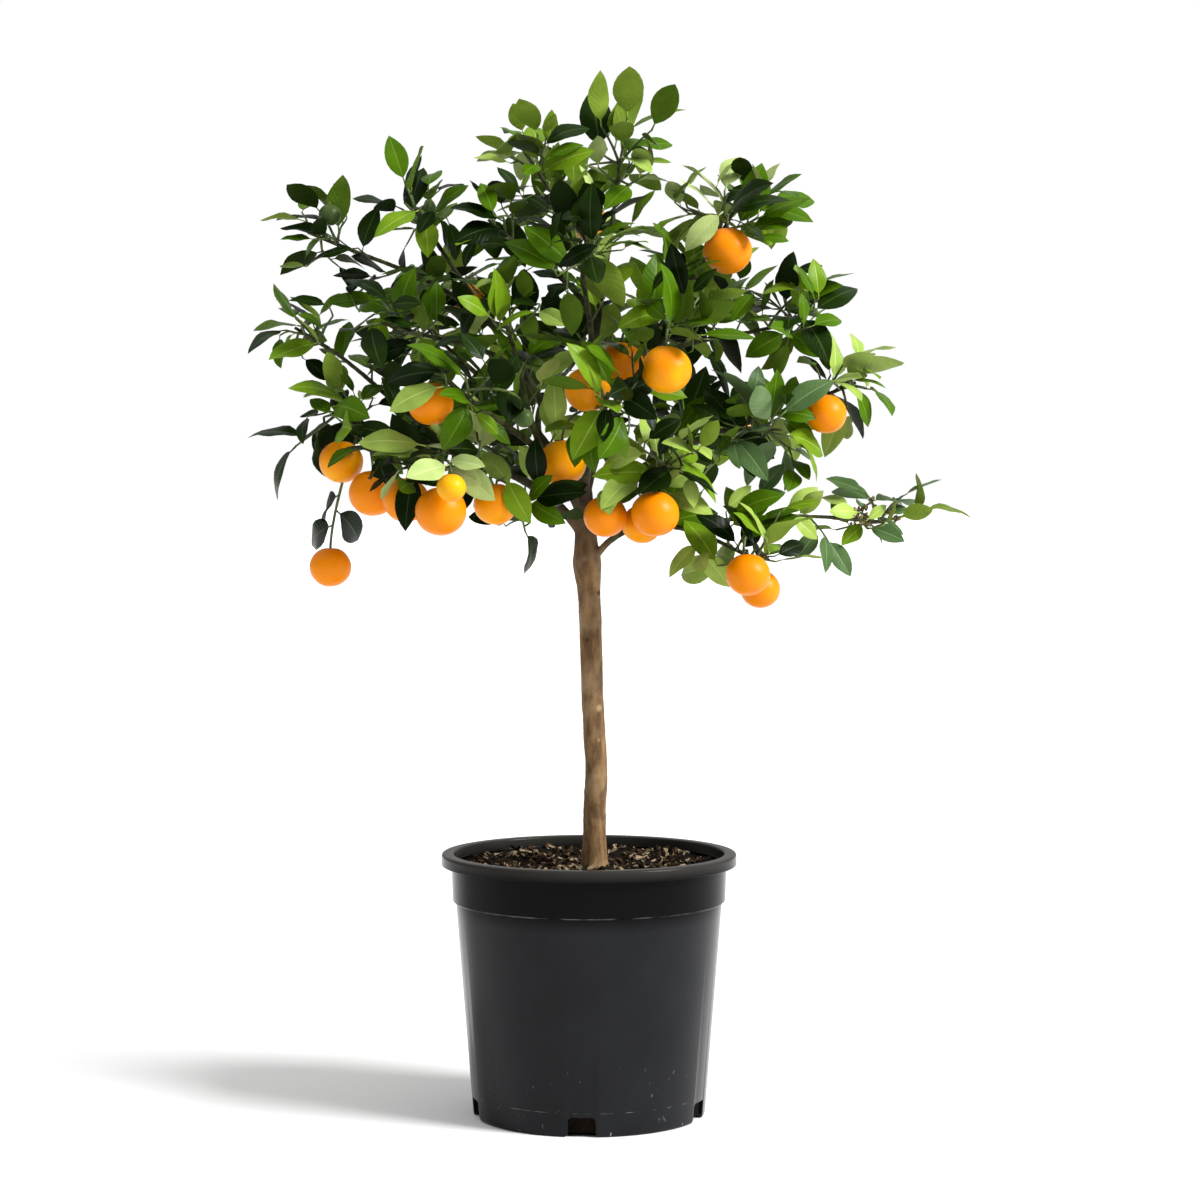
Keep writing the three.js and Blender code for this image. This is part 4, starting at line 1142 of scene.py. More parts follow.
def bark_chip(name, light, dark):
    """Shredded conifer bark: dry, fibrous along the chip, from tan to dark brown."""
    coat = Coat(name)
    paint = coat.mix(colour(dark), colour(light), coat.noise(160.0), 0.3, 0.7)
    grain = coat.noise(900.0, 3.0, Distortion=0.6)
    return coat.finish(paint, 0.85, 0.07, coat.bump(grain, 0.5, 0.0006))


@lru_cache(maxsize=None)
def citrus_bark():
    """The bark of a young citrus: thin and smooth, tan brown with greyish streaks up the trunk and
    small dark pores, turning green on the thin boughs, and darker from the collar up to the fork as
    painted shade of the crown. age is 1 on the trunk and 0 on a bough's tip; scar is above 0 on
    pale healed cuts and below 0 on dark knots."""
    coat = Coat("young_citrus_bark")
    settings = bpy.context.scene.citrus_wood
    streak, pore = coat.noise(210.0, 5.0, upright=0.22), coat.cells(330.0)
    age = coat.add("Attribute", attribute_name="age").outputs["Fac"]
    scar = coat.add("Attribute", attribute_name="scar").outputs["Fac"]
    brown = coat.mix((*settings.dark, 1), (*settings.bark, 1), streak, 0.4, 0.62)
    brown = coat.mix(brown, (*settings.pale, 1), coat.noise(48.0, 4.0), 0.46, 0.72)
    # painted shade: the trunk darkens from just under the collar up to the fork, where the crown
    # shades it
    brown = coat.mix(brown, colour("3f3020"), coat.height(), (COLLAR_Z - 12) * MM,
                     (COLLAR_Z + 45) * MM)
    green = coat.mix(colour("24250f"), (*settings.green, 1), streak, 0.4, 0.65)
    paint = coat.mix(green, brown, age, 0.35, 0.8)
    paint = coat.mix(paint, colour("b39a70"), scar, 0.1, 0.7)
    paint = coat.mix(paint, colour("2e2013"), scar, -0.1, -0.7)
    paint = coat.mix(paint, colour("4b3820"), pore, 0.14, 0.06)
    pits = coat.bump(pore, 0.15, 0.0003, Normal=coat.bump(streak, 0.55, 0.0006))
    return coat.finish(paint, 0.68, 0.25, pits)


@lru_cache(maxsize=None)
def green_twig():
    """The skin of this year's twigs: green, smooth, faintly ridged, a little glossy."""
    coat = Coat("green_twig_skin")
    paint = coat.mix(colour("2f3c15"), colour("5b6d2d"), coat.noise(70.0, 3.0), 0.35, 0.65)
    return coat.finish(paint, 0.45, normal=coat.bump(coat.noise(900.0), 0.3, 0.0002))


def leaf_skin(name, code, roughness, depth):
    """The leathery, waxed skin of a citrus leaf: satin, one plain green, with side veins that
    leave the midrib at a slant and show only as a faint relief."""
    coat = Coat(name)
    green = colour(code)
    paint = coat.mix(toned(green, 0.8, 0.84, 0.78), toned(green, 1.16, 1.12, 1.12),
                     coat.noise(60.0), 0.3, 0.7)
    chart = coat.add("SeparateXYZ", {0: coat.add("UVMap", uv_map="UVMap").outputs[0]}).outputs
    aside = coat.maths("ABSOLUTE", coat.maths("SUBTRACT", chart[0], 0.5))
    slant = coat.maths("MULTIPLY_ADD", aside, -0.55, chart[1])
    vein = coat.ramp(coat.maths("SINE", coat.maths("MULTIPLY", slant, 56.0)), 0.55, 1.0)
    return coat.finish(paint, roughness, 0.1 * (1 - roughness), coat.bump(vein, depth, 0.0004))


def plain_rib(name, code):
    """A leaf's midrib: the same wax over a paler cord."""
    coat = Coat(name)
    paint = coat.mix(toned(colour(code), 0.85, 0.85, 0.85), colour(code), coat.noise(120.0))
    return coat.finish(paint, 0.45, 0.26)


def citrus_peel(name, base, deep):
    """The peel of a ripe calamondin: thin, waxy, pitted with oil glands a millimetre apart, and
    clouded from orange to a deeper orange."""
    coat = Coat(name)
    paint = coat.mix((*base, 1), deep, coat.noise(42.0), 0.35, 0.7)
    return coat.finish(paint, 0.36, 0.15, coat.bump(coat.cells(900.0), 0.22, 0.0003))


def bud_scale(name, code, dry):
    """The skin of a flower bud: matt, from green to the brown of its dry scales."""
    coat = Coat(name)
    paint = coat.mix(colour(code), colour(dry), coat.noise(600.0), 0.4, 0.6)
    return coat.finish(paint, 0.7)


def studio_paper(tone):
    """Seamless studio paper: matt, even, with a tooth too fine to see."""
    coat = Coat("matt_white_paper")
    paint = coat.mix(toned(tone, 0.99, 0.99, 0.99), (*tone, 1), coat.noise(300.0))
    return coat.finish(paint, 0.9, 0.0)


# ---------- settings ----------


def colour_field(name, about, code):
    """A colour setting with an sRGB hex code as its default."""
    return bpy.props.FloatVectorProperty(
        name=name, description=about, default=colour(code)[:3], subtype="COLOR", size=3)


def number_field(name, about, default, **more):
    """A number setting."""
    return bpy.props.FloatProperty(name=name, description=about, default=default, **more)


def count_field(name, about, default, **more):
    """A whole number setting."""
    return bpy.props.IntProperty(name=name, description=about, default=default, **more)


class PotSettings(bpy.types.PropertyGroup):
    """Sizes and colour of the pot."""

    steps: count_field("Steps", "Faces round the pot", 160, min=32)
    lip_round: number_field("Lip Rounding", "Radius of the rim's edges", 0.0024, unit="LENGTH")
    ribs: count_field("Ribs", "Faint rings inside, under the rim", 5)
    colour: colour_field("Plastic", "Colour of the plastic", "070708")


class SoilSettings(bpy.types.PropertyGroup):
    """Sizes and colour of the potting soil."""

    chips: count_field("Chips", "Loose chips of bark on the soil", 1500)
    chip_length: number_field("Chip Length", "Length of a common chip", 0.0088, unit="LENGTH")
    relief: number_field("Relief", "Height of the lumps", 0.0034, unit="LENGTH")
    colour: colour_field("Soil", "Colour of the moist soil", "1b140f")


class WoodSettings(bpy.types.PropertyGroup):
    """Sizes and colours of the trunk and boughs."""

    skin: number_field("Skin", "Width of the skin's faces", 0.00105, unit="LENGTH")
    relief: number_field("Relief", "Depth of the bark's relief", 0.00045, unit="LENGTH")
    bark: colour_field("Bark", "Common colour of the bark", "846540")
    dark: colour_field("Streaks", "Dark streaks in the bark", "5a4228")
    pale: colour_field("Weathered", "Greyish patches", "947c5b")
    green: colour_field("Green Bark", "Bark of the thin boughs", "474b22")


class LeafSettings(bpy.types.PropertyGroup):
    """Sizes of the leaves, as shares of their length."""

    width: number_field("Width", "Width of a leaf", 0.44, subtype="FACTOR")
    stalk: number_field("Stalk", "Length of a leaf's stalk", 0.11, subtype="FACTOR")
    thickness: number_field("Thickness", "Thickness of a leaf", 0.011, subtype="FACTOR")


class FruitSettings(bpy.types.PropertyGroup):
    """Colours of the fruit."""

    ripe: colour_field("Ripe", "Colour of ripe peel", "eca000")
    deep: colour_field("Deep", "Colour of fully ripe peel", "e88500")
    yellow: colour_field("Turning", "Colour of peel that is turning", "eaa90d")
    green: colour_field("Unripe", "Colour of unripe peel", "33451f")


class StageSettings(bpy.types.PropertyGroup):
    """Floor, light and camera."""

    floor: colour_field("Floor", "Colour of the floor", "f6f6f6")
    key: number_field("Key", "Strength of the key light", 5.1)
    key_width: number_field("Key Softness", "How wide the key light looks", 0.42, subtype="ANGLE")
    key_from: bpy.props.FloatVectorProperty(
        name="Key From", description="The way to the key light", default=(0.86, -0.42, 0.62),
        subtype="DIRECTION", size=3)
    overhead: number_field("Overhead", "Soft light from straight above", 0.9)
    side: number_field("Sides", "Soft light from the sides and the back", 0.36)
    front: number_field("Front", "Soft light from the front", 0.07)
    lens: number_field("Lens", "Focal length", 87.43, subtype="DISTANCE_CAMERA")


# ---------- pot ----------

RIB_STEP = 3.2
RIB_HEIGHT = 1.6
RIB_DEPTH = 0.35
NOTCH_OUTSIDE = BASE_RADIUS + 10  # the notches are cut from outside the wall
NOTCH_BEVEL = 0.5
NOTCH_ANGLE = math.radians(50)  # edges sharper than this are taken off
WALL_ANGLE = math.radians(32)  # edges sharper than this still look sharp


def spun(profile, steps):
    """A closed body of revolution, in metres, from a profile of radius and height in mm."""
    bm = bmesh.new()
    verts = [bm.verts.new((r * MM, 0, z * MM)) for r, z in profile]
    edges = [bm.edges.new(pair) for pair in zip(verts, verts[1:])]
    bmesh.ops.spin(bm, geom=verts + edges, cent=(0, 0, 0), axis=(0, 0, 1), angle=2 * math.pi,
                   steps=steps, use_merge=True)
    bmesh.ops.remove_doubles(bm, verts=bm.verts, dist=1e-6)
    bmesh.ops.recalc_face_normals(bm, faces=bm.faces)
    return bm


def rounded(corner, before, after, radius, parts=4):
    """The points of a corner of a profile, rounded off."""
    c, p, n = (np.array(x, float) for x in (corner, before, after))
    a, b = c + unit(p - c) * radius, c + unit(n - c) * radius
    shares = [i / parts for i in range(parts + 1)]
    return [tuple(a * (1 - t) ** 2 + c * 2 * t * (1 - t) + b * t * t) for t in shares]


def wall_inside(z):
    """The pot's inner radius at a height."""
    return BASE_RADIUS + (STEP_LOWER_RADIUS - BASE_RADIUS) * z / STEP_Z - WALL


def pot_profile(settings):
    """Half the pot's section: underside, wall, step, lip, and back down the inside."""
    lip = POT_HEIGHT - RIM_HEIGHT
    big = settings.lip_round / MM
    # each corner as radius and height, and the radius that it is rounded off by
    corners = [
        ((0, 0), 0),
        ((BASE_RADIUS, 0), 2.5),
        ((STEP_LOWER_RADIUS, STEP_Z - 1.2), 0.8),
        ((STEP_UPPER_RADIUS, STEP_Z), 0.5),
        ((WALL_TOP_RADIUS, lip), 0.8),
        ((RIM_RADIUS, lip), 0.9),
        ((RIM_RADIUS, POT_HEIGHT), big),
        ((WALL_TOP_RADIUS - WALL, POT_HEIGHT), big * 0.7),
    ]
    for n in range(settings.ribs):
        z = lip + 2 - n * RIB_STEP
        r = WALL_TOP_RADIUS - WALL - (POT_HEIGHT - z) * 0.06
        middle = (r - RIB_DEPTH, z - RIB_HEIGHT / 2)
        corners += [((r, z), 0), (middle, 0), ((r, z - RIB_HEIGHT), 0)]
    corners += [((wall_inside(STEP_Z), STEP_Z), 0.6), ((wall_inside(FLOOR), FLOOR), 1.5),
                ((0, FLOOR), 0)]
    profile = []
    for n, (corner, radius) in enumerate(corners):
        if radius and 0 < n < len(corners) - 1:
            profile += rounded(corner, corners[n - 1][0], corners[n + 1][0], radius)
        else:
            profile.append(corner)
    return profile


def notch_cutters():
    """The five drainage notches round the foot of the wall, as one closed mesh to cut with."""
    half = DRAIN_WIDTH / 2
    outline = [(-half - DRAIN_FLARE, -1), (half + DRAIN_FLARE, -1), (half, DRAIN_FLARE),
               (half, DRAIN_HEIGHT - 2), (half - 2, DRAIN_HEIGHT), (2 - half, DRAIN_HEIGHT),
               (-half, DRAIN_HEIGHT - 2), (-half, DRAIN_FLARE)]
    bm = bmesh.new()
    for n in range(DRAIN_COUNT):
        verts = [bm.verts.new((x * MM, -DRAIN_INSIDE_RADIUS * MM, z * MM)) for x, z in outline]
        face = bm.faces.new(verts)
        moved = only(bmesh.types.BMVert, bmesh.ops.extrude_face_region(bm, geom=[face]))
        bmesh.ops.translate(bm, vec=(0, -(NOTCH_OUTSIDE - DRAIN_INSIDE_RADIUS) * MM, 0),
                            verts=moved)
        turn = math.radians(DRAIN_TURN_DEG) + n * 2 * math.pi / DRAIN_COUNT
        bmesh.ops.rotate(bm, cent=(0, 0, 0), matrix=Matrix.Rotation(turn, 3, "Z"),
                         verts=[*verts, *moved])
    bmesh.ops.recalc_face_normals(bm, faces=bm.faces)
    return bm


class CITRUS_OT_pot(bpy.types.Operator):
    """Add the black nursery pot"""

    bl_idname = "citrus.pot"
    bl_label = "Add Pot"

    def execute(self, context):
        """Spins the wall, cuts the drainage notches and takes the edges off."""
        settings = context.scene.citrus_pot
        blank = object_of("blank", mesh_of("blank", spun(pot_profile(settings), settings.steps)))
        cutter = object_of("cutter", mesh_of("cutter", notch_cutters()))
        add_modifier(blank, "BOOLEAN", object=cutter, operation="DIFFERENCE", solver="EXACT")
        add_modifier(blank, "BEVEL", width=NOTCH_BEVEL * MM, segments=2, limit_method="ANGLE",
                     angle_limit=NOTCH_ANGLE)
        mesh = worked_out(blank)
        bpy.data.objects.remove(cutter)
        mesh.shade_smooth()
        mesh.set_sharp_from_angle(angle=WALL_ANGLE)
        mesh.materials.clear()
        add_piece("nursery_pot", mesh, [moulded_polypropylene()], ["pot"])
        return {"FINISHED"}


# ---------- soil ----------

SOIL_FACES = 130  # across the soil
SOIL_CLEAR = 0.6  # how clear of the wall its side stays
SOIL_LAP = 0.2  # how far its top reaches past the wall's skin, so that no gap shows
SOIL_OVER = 0.4  # how far its crumbs stand over the level that it is filled to
LUMP_WIDTH = 21
SMALL_LUMP_WIDTH = 8
CRUMB_WIDTH = 2.6
SMALL_LUMPS = 0.6  # how high the small lumps stand, as a share of the large ones
CRUMBS = 0.35  # the same, of the crumbs
LEAST_LUMPS = 0.15  # what is left of the lumps next to the trunk
LUMPS_RISE = 20  # how far from there on they reach their full height
HEAP_FROM_FRONT = (0, 70)  # the soil is heaped from here to here towards the back,
HEAP_TO_WALL = (90, 102)  # and falls off again between these radii
CHIP_KINDS = 8
CHIP_WIDTH = (0.12, 0.26)  # as a share of its length: the least, and how much chance adds
CHIP_THICKNESS = (0.08, 0.1)
CHIP_LENGTHS = (0.35, 0.9)  # the same, as shares of the common length; most are short
CHIP_TILTS = (1.4, 1.6)  # how far chance tips a chip about its two flat ways, in radians
CHIP_LIFT = 0.05  # how high a chip's middle lies, as a share of its length
CHIPS_FROM_TRUNK = 11  # no chip lies closer to the trunk's middle than this


def soil_height(x, y, relief):
    """The height of the soil's crumbly top, in mm. It is heaped a little towards the back."""

    def bumps(width, layer):
        return noise.noise(Vector((x / width, y / width, layer)))

    r = math.hypot(x, y)
    lumps = bumps(LUMP_WIDTH, 3) + SMALL_LUMPS * bumps(SMALL_LUMP_WIDTH, 9)
    crumbs = CRUMBS * bumps(CRUMB_WIDTH, 5)
    level = min(1, max(LEAST_LUMPS, (r - SOIL_FLAT_RADIUS) / LUMPS_RISE))
    heap = SOIL_HEAP * smoothstep(y, *HEAP_FROM_FRONT) * (1 - smoothstep(r, *HEAP_TO_WALL))
    return SOIL_TOP + SOIL_OVER + heap + relief * (lumps * level + crumbs)


class CITRUS_OT_soil(bpy.types.Operator):
    """Add the potting soil and the loose chips on it"""

    bl_idname = "citrus.soil"
    bl_label = "Add Soil"

    def execute(self, context):
        """Rounds a grid off to a disc, roughens it, and draws its rim down to the pot's floor."""
        settings = context.scene.citrus_soil
        relief = settings.relief / MM
        edge = wall_inside(STEP_Z) + SOIL_LAP
        bm = bmesh.new()
        bmesh.ops.create_grid(bm, x_segments=SOIL_FACES, y_segments=SOIL_FACES, size=1)
        for vert in bm.verts:
            x, y = vert.co.x, vert.co.y
            x, y = x * math.sqrt(1 - y * y / 2) * edge, y * math.sqrt(1 - x * x / 2) * edge
            vert.co = Vector((x, y, soil_height(x, y, relief))) * MM
        rim = [e for e in bm.edges if e.is_boundary]
        for z, wall in ((STEP_Z, wall_inside(STEP_Z)), (FLOOR + GAP, wall_inside(FLOOR))):
            rim = only(bmesh.types.BMEdge, bmesh.ops.extrude_edge_only(bm, edges=rim))
            for vert in {v for e in rim for v in e.verts}:
                flat = Vector((vert.co.x, vert.co.y)).normalized() * (wall - SOIL_CLEAR) * MM
                vert.co = (flat.x, flat.y, z * MM)
        bmesh.ops.contextual_create(bm, geom=rim)
        bmesh.ops.recalc_face_normals(bm, faces=bm.faces)
        mesh = mesh_of("potting_soil", bm)
        mesh.shade_smooth()
        add_piece("potting_soil", mesh, [potting_mix()], ["soil"])
        self.scatter(settings, relief, edge)
        return {"FINISHED"}

    @staticmethod
    def chip(k):
        """One chip: a flat block with its corners knocked about."""
        roll = dice(k, 31)
        bm = bmesh.new()
        bmesh.ops.create_cube(bm, size=1)
        size = (1, draw(roll, CHIP_WIDTH), draw(roll, CHIP_THICKNESS))
        bmesh.ops.scale(bm, vec=size, verts=bm.verts)
        bmesh.ops.subdivide_edges(bm, edges=[e for e in bm.edges if e.calc_length() > 0.9], cuts=1)
        for vert in bm.verts:
            jolt = Vector((roll() - 0.5, roll() - 0.5, roll() - 0.5))
            vert.co += Vector((jolt.x * 0.22, jolt.y * 0.2, jolt.z * 0.14))
        return Shape(bm)

    def scatter(self, settings, relief, edge):
        """Loose chips all over the soil, most of them lying flat."""
        kinds = [self.chip(k) for k in range(CHIP_KINDS)]
        copies = []
        for n in range(settings.chips):
            roll = dice(n, 77)
            r, angle = (edge - 3) * math.sqrt(roll()), roll() * 2 * math.pi
            x, y = r * math.cos(angle), r * math.sin(angle)
            if math.hypot(x - TRUNK_LINE[0][0], y) < CHIPS_FROM_TRUNK:
                continue
            least, more = CHIP_LENGTHS
            size = settings.chip_length / MM * (least + more * roll() ** 2)
            turn = Matrix.Rotation(roll() * 7, 3, "Z")
            for tilt, axis in zip(CHIP_TILTS, "XY"):
                turn = turn @ Matrix.Rotation(swing(roll, tilt), 3, axis)
            shape = kinds[n % CHIP_KINDS]
            at = vec(x, y, soil_height(x, y, relief) + size * CHIP_LIFT)
            copies.append((shape, shape.points * size @ np.array(turn).T + at, int(roll() * 4)))
        mesh = joined("bark_chips", copies)
        mesh.shade_flat()
        add_piece("bark_chips", mesh, [
            bark_chip("bark_chip_tan", "9b8b72", "5f503c"),
            bark_chip("bark_chip_brown", "4d3a28", "2a2015"),
            bark_chip("bark_chip_dark", "2a2016", "130e09"),
            bark_chip("bark_chip_peat", "201810", "0e0a06"),
        ])


# ---------- trunk and boughs ----------

YOUNG_RADIUS = 2.5  # up to here a bough's bark is green
OLD_RADIUS = 6.5  # from here it is brown
YOUNG_FROM_TRUNK = 26  # this far from the trunk's skin nothing of its brown is left
RINGED_RADIUS = 6  # thicker bark shows faint rings, and healed cuts and knots
ROOT_RIDGE = 0.07  # how far the ridges of the roots stand out at the trunk's foot, as a share
ROOT_RIDGE_HEIGHT = 14
ROOT_RIDGES = 4
RIDGE_TURN = 0.7
OVAL = 0.02  # how far the trunk is from round, as a share
OVAL_TWIST = 40  # how far up it turns by one radian
FINE_GRAIN = (2.6, 11)  # width and height of the bark's grains,
BROAD_GRAIN = (7, 16)  # of its broad ones,
RING_GRAIN = (9, 1.7)  # and of its rings
RING_DEPTH = 0.16
TRUNK_ROD = (28, 110)  # sides and rings of the trunk's first shape
BOUGH_SIDES = 14
LIMB_SAMPLES = 60
TRUNK_SAMPLES = 120

# healed cuts and knots on the trunk: place across and height, size, how far each stands out,
# and its tone: pale above 0, dark below 0
SCARS = [
    (7.4, 310.6, 2.9, 0.5, 0.6),
    (7.4, 286.4, 1.6, 0.5, 0.4),
    (2.3, 272.6, 2.6, 0.9, -0.15),
    (-1.5, 362.3, 1.5, -0.5, -0.9),
    (7.6, 398.0, 1.9, -0.5, -1.0),
    (-6.8, 422.4, 4.2, 1.6, 0.1),
    (3.8, 221.7, 3.0, 0.9, 0.1),
    (-3.0, 246.0, 2.2, 0.5, -0.2),
    (0.5, 336.0, 1.6, 0.45, 0.3),
]


def trunk_ridges(place, angle):
    """How much the trunk swells towards its roots at its foot, and how far it is from round."""
    foot = math.exp(-(place[2] - TRUNK_FOOT_Z) / ROOT_RIDGE_HEIGHT)
    ridges = ROOT_RIDGE * foot * math.cos(ROOT_RIDGES * angle + RIDGE_TURN)
    return 1 + ridges + OVAL * math.sin(2 * angle + place[2] / OVAL_TWIST)


def grain(p, across, up):
    """Noise in grains of a width and a height, at a place in mm."""
    return noise.noise(Vector((p[0] / across, p[1] / across, p[2] / up)))


class CITRUS_OT_wood(bpy.types.Operator):
    """Add the trunk and the boughs as one skin of bark"""

    bl_idname = "citrus.wood"
    bl_label = "Add Trunk and Boughs"

    def execute(self, context):
        """Joins the limbs, grows one skin over them and raises the bark's relief."""
        settings = context.scene.citrus_wood
        copies = []
        for name, limb in limbs().items():
            trunk = name == "trunk"
            shape = rod(*TRUNK_ROD) if trunk else rod(BOUGH_SIDES, max(12, int(limb.length / 3)))
            copies.append((shape, on_limb(shape, limb, trunk_ridges if trunk else None), 0))
        mesh = remeshed(joined("limbs", copies), settings.skin)
        points, normals = points_of(mesh)
        self.shape_bark(mesh, points, normals, settings.relief)
        mesh.shade_smooth()
        mesh.materials.clear()
        nodes = [name for name in NODES if name == "trunk" or name.startswith("bough_")]
        add_piece("trunk_and_boughs", mesh, [citrus_bark()], nodes)
        return {"FINISHED"}

    @staticmethod
    def shape_bark(mesh, points, normals, relief):
        """Moves each point by the bark's relief, and writes how old the bark is there."""
        samples = [(limb.curve.point(t), limb.radius(t))
                   for limb in limbs().values() for t in np.linspace(0, 1, LIMB_SAMPLES)]
        tree = kdtree.KDTree(len(samples))
        for n, (place, _) in enumerate(samples):
            tree.insert(place, n)
        tree.balance()
        trunk = limbs()["trunk"].curve
        trunk_line = np.array([trunk.point(t) for t in np.linspace(0, 1, TRUNK_SAMPLES)])
        ages, scars = np.empty(len(points)), np.zeros(len(points))
        for n, (point, normal) in enumerate(zip(points, normals)):
            p = point / MM
            radius = samples[tree.find(p)[1]][1]
            from_trunk = math.sqrt(((trunk_line - p) ** 2).sum(axis=1).min()) - TRUNK_RADIUS
            ages[n] = max(smoothstep(radius, YOUNG_RADIUS, OLD_RADIUS),
                          1 - smoothstep(from_trunk, 2, YOUNG_FROM_TRUNK))
            broad = grain(p, *BROAD_GRAIN) * 0.9 * (radius / TRUNK_RADIUS)
            up = grain(p, *FINE_GRAIN) * 0.6 + broad
            out = relief / MM * up * min(1, radius / 5)
            if radius > RINGED_RADIUS:
                out += RING_DEPTH * grain(p, *RING_GRAIN)
                for x, z, size, height, tone in SCARS:
                    if p[1] < 0:
                        far = math.hypot(p[0] - x, (p[2] - z) * 0.8) / size
                        out += height * math.exp(-far * far)
                        scars[n] += tone * math.exp(-far * far * 1.6)
            points[n] += normal * out * MM
        mesh.vertices.foreach_set("co", points.ravel())
        for name, values in (("age", ages), ("scar", scars)):
            mesh.attributes.new(name, "FLOAT", "POINT").data.foreach_set("value", values)
        mesh.update()


# ---------- twigs ----------

TWIG_RADII = {"stem": (BOUGH_TIP_RADIUS, 1.2), "shoot": (1.2, 0.75), "stalk": (1.15, 0.95)}
STEM_SINK = 0.08  # how far a stem reaches back into its bough, as a share of its length


class CITRUS_OT_twigs(bpy.types.Operator):
    """Add the stems, shoots, spurs and fruit stalks"""

    bl_idname = "citrus.twigs"
    bl_label = "Add Twigs"

    def execute(self, context):
        """Copies a rod along every twig."""
        twigs, stalks, _ = crown()
        copies = []
        for twig in [*twigs, *stalks]:
            if twig.kind == "stem":
                twig.curve = Line(twig.curve.point(-STEM_SINK), twig.curve.end)
            twig.radii = TWIG_RADII.get(twig.kind, twig.radii)
            shape = rod(6, max(3, int(twig.length / 5)))
            copies.append((shape, on_limb(shape, twig), 0 if twig.kind == "stem" else 1))
        mesh = joined("twigs", copies)
        add_piece("twigs", mesh, [citrus_bark(), green_twig()])
        return {"FINISHED"}


# ---------- leaves ----------

# the tints of a spray: blade, underside, midrib. They are mostly painted light and shade: shaded
# and deep are painted shade for leaves inside and at the back of the crown, mid, bright and lit
# stand for leaves more and more in the key light, grey is a painted pale sheen of backlight, and
# young is the pale green of new leaves.
TINTS = [
    ("deep", "182b05", "26360a", "314608"),
    ("shaded", "0c1b02", "17250a", "1f3204"),
    ("mid", "426306", "4e671a", "5f7d18"),
    ("bright", "668617", "778f32", "8ca63a"),
    ("lit", "94ae50", "9cb05e", "b6c868"),
    ("young", "a4b670", "a6b674", "bac884"),
    ("grey", "4a643a", "667c54", "6a8250"),
]
# painted light and shade: the masses in the crown's shade draw the darker tints (deep, mid), those
# in the key light the lighter ones (bright, sunny, fresh), and grey and hazy deal out the painted
# sheen
SPRAYS = {
    "deep": (0, 0, 1, 1, 2, 2, 3),
    "mid": (0, 1, 2, 2, 2, 3, 3),
    "bright": (1, 2, 3, 3, 4, 4, 2),
    "sunny": (1, 1, 0, 3, 4, 4, 5),
    "mixed": (1, 1, 0, 2, 2, 3, 4),
    "fresh": (0, 2, 2, 3, 3, 4, 5),
    "grey": (0, 2, 2, 6, 6, 3, 6),
    "hazy": (2, 6, 6, 3, 5, 6, 4),
}
LEAF_KINDS = 10
LEAF_ROWS = 8  # rows of faces along a leaf
# how the kinds of leaf differ: the least of each form, and how much chance adds to it
LEAF_FOLD, LEAF_CURL = (0.15, 0.4), (0.3, 0.5)
LEAF_BEND, LEAF_WAVE = (0.15, 0.75), (0.05, 0.1)
LEAF_NARROW = (0.9, 0.25)
LEAF_TWIST, LEAF_SICKLE = 0.9, 0.16  # these two go to either side
BLADE_ROOT, BLADE_FULL = 0.9, 0.82  # how far towards its root, and how fully, a blade is rounded
BLADE_FINISH = (0.31, 0.25)  # roughness, and depth of the veins
UNDERSIDE_FINISH = (0.55, 0.4)
KEEL = 1.6  # how far the underside stands out along the midrib, in thicknesses,
CHANNEL = 0.25  # and how deep the blade's channel is
STALK_RADII = (0.017, 0.012)
STALK_LAP = 0.03  # how far a leaf's stalk reaches under its blade
STALK_UNDER = 0.004  # how far under it lies
LIGHT_TURN = 1.1  # how far a leaf's face turns out of the crown, towards the light
LIGHT_SHARES = (0.3, 1)  # as a share of that: the least, and how much chance adds
LIGHT_HEART = vec(0, 60, 500)  # faces turn away from here,
LIGHT_WAY = vec(0.3, 1, 0.4)  # less to the sides and upwards than to the front and the back


